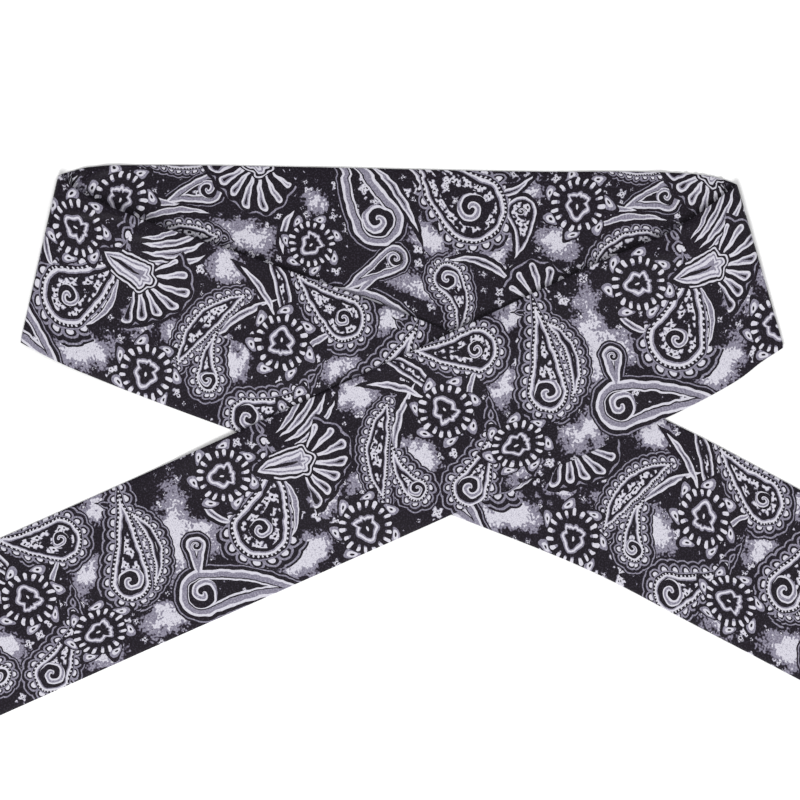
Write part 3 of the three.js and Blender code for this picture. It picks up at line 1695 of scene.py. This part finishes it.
def rosette_dress() -> bpy.types.NodeTree:
    """A black round with a ring of ticks, a crowned shield inside and leaves about it.

    Returns:
        The node group.
    """
    group = Group("Rosette", ("X", "Y"), "Drawing")
    x, y = group.inputs
    spot = Spot.of(x, y)
    radius, turn = spot.polar()
    ticks, tick_ring, disc_radius, leaves, leaf_ring = 18, 9.6, 11.7, 7, 13.1
    crown = (turn * 6.6).cos().most(0.0) * (turn.cos() > 0.2) * 1.2
    sides = (turn * 5.0).cos() * -0.6
    foot = turn.cos().times_plus(-1.0, -0.5).most(0.0) * 3.2
    shield = bands(
        radius - crown - sides - foot - 4.5,
        -5.0,
        [
            (-1.6, Tone.BLACK),
            (-1.0, Tone.GREY),
            (-0.1, Tone.LIGHT),
            (0.6, Tone.GREY),
            (2.0, Tone.BLACK),
        ],
    )
    shield = shield.touched(Spot.of((x + 0.8) * 0.6, y * 1.3).length() < 0.6, Tone.LIGHT)
    around = (turn + 0.1).cell(math.tau / ticks) * radius
    out = abs(radius - (turn * 7.0).sin() * 0.4 - tick_ring)
    tick = around.hypot((out - 0.9).most(0.0)) < radius.times_plus(0.1, -0.25)
    disc = bands(radius, 0.0, [(disc_radius, Tone.BLACK)])
    disc = disc.touched(tick, Tone.LIGHT)
    disc = disc.touched(tick * (radius < 8.9), Tone.GREY)
    leaf_round = (turn + 0.45).cell(math.tau / leaves) * radius
    swirl = leaf_round.times_plus(0.3, radius - leaf_ring)
    leaf = bands(
        (leaf_round * 0.5).hypot(swirl * leaf_round.times_plus(0.12, 0.85)),
        0.0,
        [(0.4, Tone.BLACK), (1.0, Tone.LIGHT), (1.6, Tone.GREY), (2.3, Tone.BLACK)],
    )
    return group.close(shield.over(disc).over(leaf))


def palmette_dress() -> bpy.types.NodeTree:
    """A pointed bud with a fan of looped petals behind it.

    Returns:
        The node group.
    """
    group = Group("Palmette", ("X", "Y"), "Drawing")
    x, y = group.inputs
    radius, turn = Spot.of(x, y).polar()
    petals, petal_reach, bud_reach = 16, 17.6, 18.0
    swung = radius.times_plus(-0.008, turn)
    petal_turn = swung.cell(math.tau / petals)
    across = abs(petal_turn.sin() * radius)
    end = (swung * 3.3).cos().times_plus(1.8, petal_reach)
    past = (radius - end).most(0.0)
    breadth = turn.sin().times_plus(-0.035, 0.125)
    petal = bands(
        across.hypot(past) - radius * breadth + 0.4,
        -3.0,
        [(-1.45, Tone.BLACK), (-0.85, Tone.GREY), (0.0, Tone.LIGHT), (1.4, Tone.BLACK)],
    )
    scallop = (petal_turn * 8.0).cos() * 0.9
    rim = bands(
        radius - end - scallop,
        0.0,
        [(2.2, Tone.BLACK), (3.0, Tone.GREY), (4.4, Tone.BLACK)],
    )
    fan = petal.over(rim).unless((radius < 5.0).most(abs(turn + 0.25) > 1.25))
    down = x * -1.0
    side = abs(y)
    lobes = (turn * 5.0).cos() * 0.9
    cap = radius - lobes - 4.6
    blunt = down * down * (1 / bud_reach**2)
    edge = (blunt * blunt).times_plus(3.4, side) + down * 0.07 - 4.8
    level = choose(down > 0.0, cap, edge)
    bud = bands(
        level,
        -5.0,
        [
            (-2.9, Tone.GREY),
            (-1.6, Tone.LIGHT),
            (-0.8, Tone.GREY),
            (0.1, Tone.LIGHT),
            (1.1, Tone.BLACK),
            (1.8, Tone.LIGHT),
            (2.6, Tone.BLACK),
        ],
    )
    bud = bud.touched((abs(level - 1.45) < 0.5) * (down > 12.0), Tone.BLACK)
    bud = bud.touched(((down - 8.0) * 0.1).hypot(side) < 0.75, Tone.BLACK)
    return group.close(bud.over(fan))


def nearest_cell(spot: Spot, scale: Number) -> tuple[Spot, Spot]:
    """Scatters places over the cloth.

    Args:
        spot: The point.
        scale: How many places there are along a millimetre.

    Returns:
        The way from the nearest place, and three numbers that differ between places.
    """
    cells = spot.through("ShaderNodeTexVoronoi")
    cells.voronoi_dimensions = "2D"
    feed(cells.inputs["Scale"], scale)
    return spot.minus(Spot(cells.outputs["Position"])), Spot(cells.outputs["Color"])


def filler_dress() -> bpy.types.NodeTree:
    """What fills open places: lace of touching flowers, or loose flowers and dots on black.

    Returns:
        The node group.
    """
    group = Group("Filler Flowers", ("X", "Y", "Loose"), "Drawing")
    x, y, loose = group.inputs
    spot = Noise(1.6, 1.0).shift(Spot.of(x, y), 1.5)
    lace_pitch, loose_pitch, dot_pitch = 4.1, 5.8, 2.8
    way, lot = nearest_cell(spot, choose(loose, 1 / lace_pitch, 1 / loose_pitch))
    radius, turn = way.polar()
    first, second, _ = lot.parts()
    petals = (turn * 4.0 + second * 9.0).cos()
    size = choose(loose, 1.6, first.times_plus(3.6, -1.6).least(2.0))
    edge = petals.times_plus(-0.55, radius) - size
    flower = bands(edge, -3.0, [(0.0, Tone.LIGHT), (0.35, Tone.GREY), (1.0, Tone.BLACK)])
    seeds = (abs(radius - 1.15) < petals.times_plus(0.7, -0.4)) * loose
    hole = choose(loose, 0.55, 0.4)
    flower = flower.touched((radius < hole).most(seeds), Tone.BLACK)
    way, lot = nearest_cell(spot, 1 / dot_pitch)
    dash, _, _ = lot.parts()
    reach = dash.times_plus(2.6, way.length())
    dots = bands(reach, 0.0, [(0.36, Tone.LIGHT), (0.6, Tone.GREY), (6.0, Tone.BLACK)])
    return group.close(flower.over(dots))


def nearest_motif(cloth: Cloth, motifs: Sequence[Motif]) -> list[Formula]:
    """The point as seen from the nearest of some motifs.

    Args:
        cloth: The plane of the print.
        motifs: Where they are.

    Returns:
        The point's two coordinates in the motif's measure.
    """
    spot, distance = None, None
    for motif in motifs:
        across = motif.size / motif.squash
        own = cloth.place(motif.x, motif.y, motif.turn, motif.size, across)
        length = own.length()
        if spot is None:
            spot, distance = own, length
            continue
        spot = pick(length < distance, spot, own)
        distance = distance.least(length)
    return spot.parts()[:2]


@dataclass(frozen=True)
class Repeat:
    """One face of the print: what lies where in one repeat of it.

    Attributes:
        period: The length of the repeat, in millimetres.
        curves: The botehs, leaves and stems.
        rosettes: The round flowers.
        palmettes: The buds with their fans.
        blotches: The light patches of the ground.
        hand: How far the hand that drew it strays, in millimetres.
        blot: How far the patches' edges stray, in millimetres.
        ragged: How ragged they are, in millimetres.
        scratch: How thick the grey scratches in them are, as a share of the raggedness.
    """

    period: float
    curves: tuple[Union[Boteh, Sickle], ...]
    rosettes: tuple[Motif, ...]
    palmettes: tuple[Motif, ...]
    blotches: tuple[Blotch, ...]
    hand: float = 1.5
    blot: float = 13.0
    ragged: float = 4.2
    scratch: float = 0.02

    def ground(self, spot: Spot) -> Drawing:
        """The black ground with its ragged light patches.

        Args:
            spot: The point, in millimetres.

        Returns:
            The drawing.
        """
        cloth = Cloth(Noise(7.0, 2.0, 0.55).shift(spot, self.blot), self.period)
        level = None
        for blotch in self.blotches:
            size = min(blotch.half_length, blotch.half_width)
            reach = cloth.place(
                blotch.x + self.blot / 2,
                blotch.y + self.blot / 2,
                blotch.turn,
                blotch.half_length,
                blotch.half_width,
            ).length()
            own = reach.times_plus(size, -size)
            level = own if level is None else level.least(own)
        ragged = Noise(1.1, 0.0).value(spot)
        level = ragged.times_plus(self.ragged, level)
        patch = bands(
            level,
            -4.0,
            [(-2.0, Tone.LIGHT), (0.3, Tone.GREY), (1.2, Tone.DARK), (60.0, Tone.OPEN)],
        )
        return patch.touched((abs(ragged) < self.scratch) * (level < 0.0), Tone.GREY)

    def curved(self, cloth: Cloth, dress: bpy.types.NodeTree) -> Drawing:
        """The botehs, leaves and stems; where two meet, the nearer edge wins.

        Args:
            cloth: The plane of the print.
            dress: Their dress.

        Returns:
            The drawing.
        """
        level, spot, kind = None, None, None
        for curve in self.curves:
            own_level, own_spot = curve.measure(cloth)
            if level is None:
                level, spot, kind = own_level, own_spot, curve.kind()
                continue
            nearer = own_level < level
            spot = pick(nearer, spot, own_spot)
            kind = pick(nearer, kind, curve.kind())
            level = level.least(own_level)
        return Drawing(place_group(dress, level, *spot.parts(), *kind.parts()))

    def group(self, name: str, dresses: "Dresses") -> bpy.types.NodeTree:
        """Makes the node group of this face's print.

        Args:
            name: The group's name.
            dresses: The motifs' own groups.

        Returns:
            The group, which takes a place and puts out a tone.
        """
        group = Group(name, ("X", "Y"), "Tone", "Float")
        spot = Spot.of(*group.inputs)
        drawn = Noise(5.5, 1.0).shift(spot, self.hand)
        half = self.hand / 2
        cloth = Cloth(drawn.placed(half, half, 0.0, (1.0, 1.0)), self.period)
        result = self.curved(cloth, dresses.curve).over(self.ground(spot))
        rosette = place_group(dresses.rosette, *nearest_motif(cloth, self.rosettes))
        result = Drawing(rosette).over(result)
        palmette = place_group(dresses.palmette, *nearest_motif(cloth, self.palmettes))
        result = Drawing(palmette).over(result)
        room = result.part("Blue")
        filler = Drawing(place_group(dresses.filler, *group.inputs, room > 0.75))
        return group.close(result.touched(room > 0.25, filler).part("Red"))


@dataclass(frozen=True)
class Dresses:
    """The node groups that both faces of the print share."""

    curve: bpy.types.NodeTree
    rosette: bpy.types.NodeTree
    palmette: bpy.types.NodeTree
    filler: bpy.types.NodeTree

    @classmethod
    def made(cls) -> "Dresses":
        """Makes all four."""
        return cls(curve_dress(), rosette_dress(), palmette_dress(), filler_dress())


PRINT_PERIOD = 194.0

FRONT_PRINT = Repeat(
    period=PRINT_PERIOD,
    curves=(
        Boteh(148.2, -7.3, 42, bulb=14, reach=38, curl=0.012, eye=0.34, scale=1.35),
        Boteh(89, -5, 68, bulb=9.6, reach=46, curl=0.003, scale=1.1),
        Boteh(114.5, -22.5, -9, bulb=10.5, reach=50, curl=-0.007, style=Style.BOLD),
        Boteh(120.2, -2.4, -108, bulb=4.2, reach=17, style=Style.BOLD, scale=0.8),
        Boteh(21, -19, 116, bulb=6, reach=27, curl=-0.022, scale=0.9),
        Boteh(42, -28, 34, bulb=9, reach=28, curl=0.01),
        Boteh(69, 24, 165, bulb=10.5, reach=32, curl=-0.008, eye=0.34),
        Sickle(13, 3, 62, length=48, width=11.5, bend=-55, style=Style.RICH, scale=0.8),
        Sickle(26, 10, 50, length=38, width=3.0, bend=-60),
        Sickle(105, 5, 84, length=46, width=7, bend=26, style=Style.RICH, scale=0.8),
        Sickle(40, 28, 122, length=30, width=6.4, bend=40),
        Sickle(32, 24, 142, length=26, width=3.0, bend=40),
        Sickle(188, 22, 22, length=28, width=3.0, bend=34),
        Sickle(186.5, 26, 26, length=28, width=3.0, bend=34),
        Sickle(185, 30, 30, length=28, width=3.0, bend=34),
        Sickle(181, 32.5, 36, length=22, width=2.4, bend=34, style=Style.STEM),
        Sickle(59, 9, 60, length=26, width=2.4, bend=-22, style=Style.STEM),
        Sickle(166, -4, 75, length=30, width=2.6, bend=24, style=Style.STEM),
        Sickle(133, 6, 120, length=20, width=3.0, bend=-18),
    ),
    rosettes=(
        Motif(143.6, 20.4, -10),
        Motif(46.5, 6, -80),
        Motif(68, -19.5, squash=1.2),
        Motif(189, -25, 90),
    ),
    palmettes=(Motif(175.4, 12.6, -11),),
    blotches=(
        Blotch(114.8, 5.5, 22, 5.5, 72),
        Blotch(123.5, 2.2, 12, 5, -56),
        Blotch(97, -26, 11, 6),
        Blotch(73, 5, 8, 5.5, 45),
        Blotch(27.5, -7.5, 10, 6.5, -40),
        Blotch(160, -26, 14, 7, 20),
        Blotch(15, 28, 8, 7),
        Blotch(179, -7, 6, 5),
        Blotch(88.5, 30, 8, 5, 30),
        Blotch(65, -31, 6, 3),
        Blotch(2, -6, 5, 4),
    ),
)

BACK_PRINT = Repeat(
    period=PRINT_PERIOD,
    curves=(
        Boteh(144, 13, 124, bulb=11, reach=50, curl=-0.006, style=Style.BOLD),
        Boteh(184, 19, 146, bulb=16, reach=54, curl=-0.012, eye=0.4, scale=1.2),
        Boteh(173.5, -11, -50, bulb=7.5, reach=32, curl=-0.03, scale=0.8),
        Boteh(151, -3, 212, bulb=5.8, reach=28, style=Style.BOLD, scale=0.6),
        Boteh(72, 25, 190, bulb=6.5, reach=20, curl=0.01, style=Style.BOLD, scale=0.7),
        Boteh(92, -24, 160, bulb=10, reach=38, curl=0.01),
        Boteh(128, -24, 20, bulb=8.5, reach=32, curl=-0.02, style=Style.BOLD),
        Sickle(152, 25, 128, length=38, width=3.2, bend=60),
        Sickle(163, 29, 120, length=34, width=3.6, bend=60),
        Sickle(138, -15, 44, length=30, width=2.6, bend=-34, style=Style.STEM),
        Boteh(11, 18, -80, bulb=6.5, reach=20, curl=-0.02, eye=0.3, style=Style.LEAF),
        Sickle(5, 26, 20, length=24, width=3.4, bend=24),
        Sickle(62, 36, 0, length=36, width=7.0, bend=120, style=Style.RICH, scale=0.7),
        Sickle(57.5, 3.2, 16, length=42, width=14, bend=-45, style=Style.RICH, scale=0.8),
        Sickle(189, -4, 160, length=30, width=3.4, bend=24),
        Sickle(104, 8, 75, length=20, width=3.0, bend=-20),
        Sickle(56, 15.5, 8, length=34, width=2.8, bend=-44, style=Style.STEM),
        Sickle(50, 20, -20, length=20, width=2.8, bend=24, style=Style.STEM),
    ),
    rosettes=(
        Motif(35, 21, 80),
        Motif(116, 2.5, 45, 0.85),
        Motif(58, -18, 20),
    ),
    palmettes=(Motif(93, 37, -90), Motif(18.5, -24, 90, 0.95)),
    blotches=(
        Blotch(89.5, 5.5, 14, 5.5, -14),
        Blotch(166, 5.5, 10, 6, -35),
        Blotch(25.5, 5, 9, 6, -35),
        Blotch(79, -8, 7, 7),
        Blotch(163, -15.5, 13, 4.5, -22),
        Blotch(118, 19, 5, 4.5),
        Blotch(184, 32, 8, 3),
        Blotch(14.5, 27.5, 5, 4),
        Blotch(1, 1, 9, 4, 32),
        Blotch(11, -27, 9, 4, 75),
        Blotch(40, -30, 9, 5),
    ),
)


# ---------------------------------------------------------------------- the finishes


@dataclass(frozen=True)
class Inks:
    """The print's four colours, as linear light."""

    black: Triple = (0.0052, 0.003, 0.0066)
    dark: Triple = (0.059, 0.051, 0.076)
    grey: Triple = (0.176, 0.164, 0.218)
    light: Triple = (0.515, 0.503, 0.563)

    def colour(self, tone: Formula) -> bpy.types.NodeSocket:
        """The colour of a tone.

        Args:
            tone: From 0, black, to 1, light.

        Returns:
            The output that carries the colour.
        """
        node = tone.socket.id_data.nodes.new("ShaderNodeValToRGB")
        ramp = node.color_ramp
        ramp.elements[0].color = (*self.black, 1.0)
        ramp.elements[1].color = (*self.light, 1.0)
        ramp.elements.new(Tone.DARK.value[0]).color = (*self.dark, 1.0)
        ramp.elements.new(Tone.GREY.value[0]).color = (*self.grey, 1.0)
        feed(node.inputs[0], tone)
        return node.outputs["Color"]


def new_finish(title: str) -> tuple[bpy.types.Material, bpy.types.NodeTree, bpy.types.Node]:
    """Starts a material.

    Args:
        title: Its name.

    Returns:
        The material, its node tree and its shader.
    """
    material = bpy.data.materials.new(title)
    material.use_nodes = True
    return material, material.node_tree, material.node_tree.nodes["Principled BSDF"]


def weave_group() -> bpy.types.NodeTree:
    """Fine silk twill: slanting ribs of uneven threads, from about -1 to 1.

    Returns:
        The node group.
    """
    group = Group("Silk Twill", ("X", "Y"), "Weave", "Float")
    x, y = group.inputs
    rib_pitch, waver, rib_share, thread_share = 0.55, 5.0, 0.6, 1.6
    threads = Noise(0.5, 1.0).value(Spot.of(x * 0.4, y * 3.0))
    ribs = ((x + y) * (math.tau / rib_pitch) + threads * waver).sin()
    return group.close(ribs * rib_share + threads * thread_share)


@dataclass(frozen=True)
class PrintedSilk:
    """Printed silk twill: a soft low sheen over a fine slanting weave.

    Attributes:
        title: The material's name.
        weave: The twill's node group.
        drawing: The print's node group, or None on the inside of the tube.
        inks: The print's colours.
        plain: The colour where there is no print.
        roughness: How matt the cloth is.
        gloss: The strength of its reflection.
        sheen: The strength of the glow of its fibres.
        patchy: How unevenly the threads take the ink, in tones.
        shade: How much the weave darkens and lightens the colour, lighter where it stands higher:
            partly the threads' own uneven tone, partly painted shade and highlight on the twill's
            relief.
        relief: The height of the weave, in metres.
        bump: How strongly that height turns the light.
        softness: How widely the fibres' glow spreads.
    """

    title: str
    weave: bpy.types.NodeTree
    drawing: Optional[bpy.types.NodeTree]
    inks: Inks = Inks()
    plain: Triple = (0.15, 0.14, 0.17)
    roughness: float = 0.5
    gloss: float = 0.12
    sheen: float = 0.015
    patchy: float = 0.42
    shade: float = 0.06
    relief: float = 0.00004
    bump: float = 0.2
    softness: float = 0.4

    def material(self) -> bpy.types.Material:
        """Builds the material.

        Returns:
            The finished material.
        """
        material, tree, shader = new_finish(self.title)
        cloth = tree.nodes.new("ShaderNodeUVMap")
        cloth.uv_map = "Cloth"
        x, y, _ = Spot(cloth.outputs["UV"]).parts()
        weave = Formula(place_group(self.weave, x, y))
        mix = tree.nodes.new("ShaderNodeMix")
        mix.data_type = "RGBA"
        mix.blend_type = "MULTIPLY"
        mix.inputs[0].default_value = 1.0
        if self.drawing is None:
            mix.inputs[6].default_value = (*self.plain, 1.0)
        else:
            tone = Formula(place_group(self.drawing, x, y))
            patchy = Noise(0.7, 1.0).value(Spot.of(x, y)).times_plus(self.patchy, tone)
            tree.links.new(self.inks.colour(patchy), mix.inputs[6])
        # The weave's height tints the colour: partly the threads' own uneven tone, partly painted
        # shade in the twill's hollows and a painted highlight on its ribs.
        tree.links.new(weave.times_plus(self.shade, 1.0).socket, mix.inputs[7])
        tree.links.new(mix.outputs[2], shader.inputs["Base Color"])
        bump = tree.nodes.new("ShaderNodeBump")
        bump.inputs["Strength"].default_value = self.bump
        bump.inputs["Distance"].default_value = self.relief
        feed(bump.inputs["Height"], weave)
        tree.links.new(bump.outputs["Normal"], shader.inputs["Normal"])
        shader.inputs["Roughness"].default_value = self.roughness
        shader.inputs["Specular IOR Level"].default_value = self.gloss
        shader.inputs["Sheen Weight"].default_value = self.sheen
        shader.inputs["Sheen Roughness"].default_value = self.softness
        return material


@dataclass(frozen=True)
class BlackThread:
    """Dull black sewing thread with a fine twist.

    Attributes:
        title: The material's name.
        dark: The colour between its strands: painted shade in the grooves of the twist.
        light: The colour on them: a painted highlight on the strands.
        twist: How tightly it is twisted.
        roughness: How matt it is.
        gloss: The strength of its reflection.
    """

    title: str = "black_thread"
    dark: Triple = (0.006, 0.005, 0.008)
    light: Triple = (0.03, 0.027, 0.034)
    twist: float = 900.0
    roughness: float = 0.7
    gloss: float = 0.2

    def material(self) -> bpy.types.Material:
        """Builds the material.

        Returns:
            The finished material.
        """
        material, tree, shader = new_finish(self.title)
        place = tree.nodes.new("ShaderNodeTexCoord")
        # The twist's bands paint shade between the strands and a highlight on them; the thread
        # itself is one black throughout.
        twist = tree.nodes.new("ShaderNodeTexWave")
        twist.bands_direction = "DIAGONAL"
        twist.inputs["Scale"].default_value = self.twist
        tree.links.new(place.outputs["Object"], twist.inputs["Vector"])
        twist_shade_ramp = tree.nodes.new("ShaderNodeValToRGB")
        twist_shade_ramp.color_ramp.elements[0].color = (*self.dark, 1.0)
        twist_shade_ramp.color_ramp.elements[1].color = (*self.light, 1.0)
        tree.links.new(twist.outputs["Fac"], twist_shade_ramp.inputs[0])
        tree.links.new(twist_shade_ramp.outputs["Color"], shader.inputs["Base Color"])
        shader.inputs["Roughness"].default_value = self.roughness
        shader.inputs["Specular IOR Level"].default_value = self.gloss
        return material


# ------------------------------------------------------------------------ the setting


@dataclass(frozen=True)
class Lamp:
    """A soft square light: its place and size in metres, and its power in watts."""

    name: str
    place: tuple[float, float, float]
    size: float
    power: float

    def hang(self, aim: Vector) -> None:
        """Adds the light.

        Args:
            aim: What it is turned to, in metres.
        """
        lamp = bpy.data.lights.new(self.name, "AREA")
        lamp.size = self.size
        lamp.energy = self.power
        holder = bpy.data.objects.new(self.name, lamp)
        holder.location = self.place
        holder.rotation_euler = (aim - Vector(self.place)).to_track_quat("-Z", "Y").to_euler()
        bpy.context.scene.collection.objects.link(holder)


@dataclass(frozen=True)
class Studio:
    """A pale table, soft light and a camera that looks straight down on the loop.

    Lengths are in metres.

    Attributes:
        view_width: How much of the table the camera sees.
        camera_height: Over the table.
        table_size: The length of its sides.
        table_shade: How pale it is, from 0 to 1.
        table_roughness: How matt it is.
        table_gloss: The strength of its reflection.
        sky: The strength of the light from all round.
        lamps: The soft lights.
    """

    view_width: float = 0.3392
    camera_height: float = 2.4
    table_size: float = 9.0
    table_shade: float = 0.9
    table_roughness: float = 0.9
    table_gloss: float = 0.1
    sky: float = 0.6
    lamps: tuple[Lamp, ...] = (
        Lamp("key_light", (-0.35, -1.5, 1.9), 0.95, 52.0),
        Lamp("fill_light", (1.4, 0.6, 2.2), 1.6, 16.0),
    )

    def table(self) -> bpy.types.Object:
        """Makes the pale table top, which isn't part of the scarf.

        Returns:
            The table top.
        """
        bpy.ops.object.select_all(action="DESELECT")
        bpy.ops.mesh.primitive_plane_add(size=self.table_size)
        top = bpy.context.active_object
        top.name = "table_top"
        material, _, shader = new_finish("table_white")
        white = self.table_shade
        shader.inputs["Base Color"].default_value = (white, white, white, 1.0)
        shader.inputs["Roughness"].default_value = self.table_roughness
        shader.inputs["Specular IOR Level"].default_value = self.table_gloss
        top.data.materials.append(material)
        return top

    def light(self, aim: Vector) -> None:
        """Adds the lamps, and even light from all round.

        Args:
            aim: What the lamps are turned to, in metres.
        """
        for lamp in self.lamps:
            lamp.hang(aim)
        world = bpy.data.worlds.new("studio")
        bpy.context.scene.world = world
        world.use_nodes = True
        background = world.node_tree.nodes["Background"]
        background.inputs["Color"].default_value = (1.0, 1.0, 1.0, 1.0)
        background.inputs["Strength"].default_value = self.sky

    def camera(self, aim: Vector) -> None:
        """Adds the camera, straight above the middle of the loop.

        Args:
            aim: The middle of the loop, in metres.
        """
        data = bpy.data.cameras.new("camera")
        data.lens = data.sensor_width * self.camera_height / self.view_width
        holder = bpy.data.objects.new("camera", data)
        holder.location = aim + Vector((0, 0, self.camera_height))
        bpy.context.scene.collection.objects.link(holder)
        bpy.context.scene.camera = holder
        bpy.context.scene.view_settings.view_transform = "Standard"


# ----------------------------------------------------------------------------- main


def report(piece: bpy.types.Object) -> None:
    """Says what a finished piece is made of."""
    slots = [slot.material.name for slot in piece.material_slots]
    log.info("%s: %d faces, %s", piece.name, len(piece.data.polygons), ", ".join(slots))


def main() -> None:
    """Builds the setting, the three stretches of the scarf and their end stitches."""
    footing = band_footing()
    studio = Studio()
    studio.camera(footing * MM)
    studio.light(footing * MM)
    table = studio.table()
    report(table)
    dresses = Dresses.made()
    weave = weave_group()
    front = FRONT_PRINT.group("Front Print", dresses)
    back = BACK_PRINT.group("Back Print", dresses)
    finishes = {
        Face.FRONT: PrintedSilk("printed_silk_front", weave, front).material(),
        Face.BACK: PrintedSilk("printed_silk_back", weave, back).material(),
        Face.INSIDE: PrintedSilk("plain_silk_inside", weave, None).material(),
    }
    band = NeckBand("neck_band_silk", "neck_band", Face.BACK, BAND_CREASES)
    right = Tail(
        "right_tail_silk",
        "right_tail",
        Face.FRONT,
        RIGHT_TAIL_CREASES,
        under=BAND,
        run=RIGHT_RUN,
        heading=1,
        print_start=Prints.RIGHT_TAIL_START,
        print_slack=-11.0,
        print_skew=7.7,
    )
    left = Tail(
        "left_tail_silk",
        "left_tail",
        Face.FRONT,
        LEFT_TAIL_CREASES,
        under=BAND_FROM_RIGHT,
        run=LEFT_RUN,
        crossed=RIGHT_RUN,
        heading=-1,
        print_start=Prints.LEFT_TAIL_START,
        print_slack=12.0,
    )
    below: list[bpy.types.Object] = [table]
    for stretch in (band, right, left):
        piece = stretch.build(footing)
        stretch.dress(piece, finishes, list(below))
        below.append(piece)
        report(piece)
    thread = BlackThread().material()
    for name, tail in (("right_end_stitches", right), ("left_end_stitches", left)):
        stitches = SlipStitches(name, tail)
        row = stitches.build(footing)
        stitches.dress(row, thread)
        report(row)


if __name__ == "__main__":
    main()
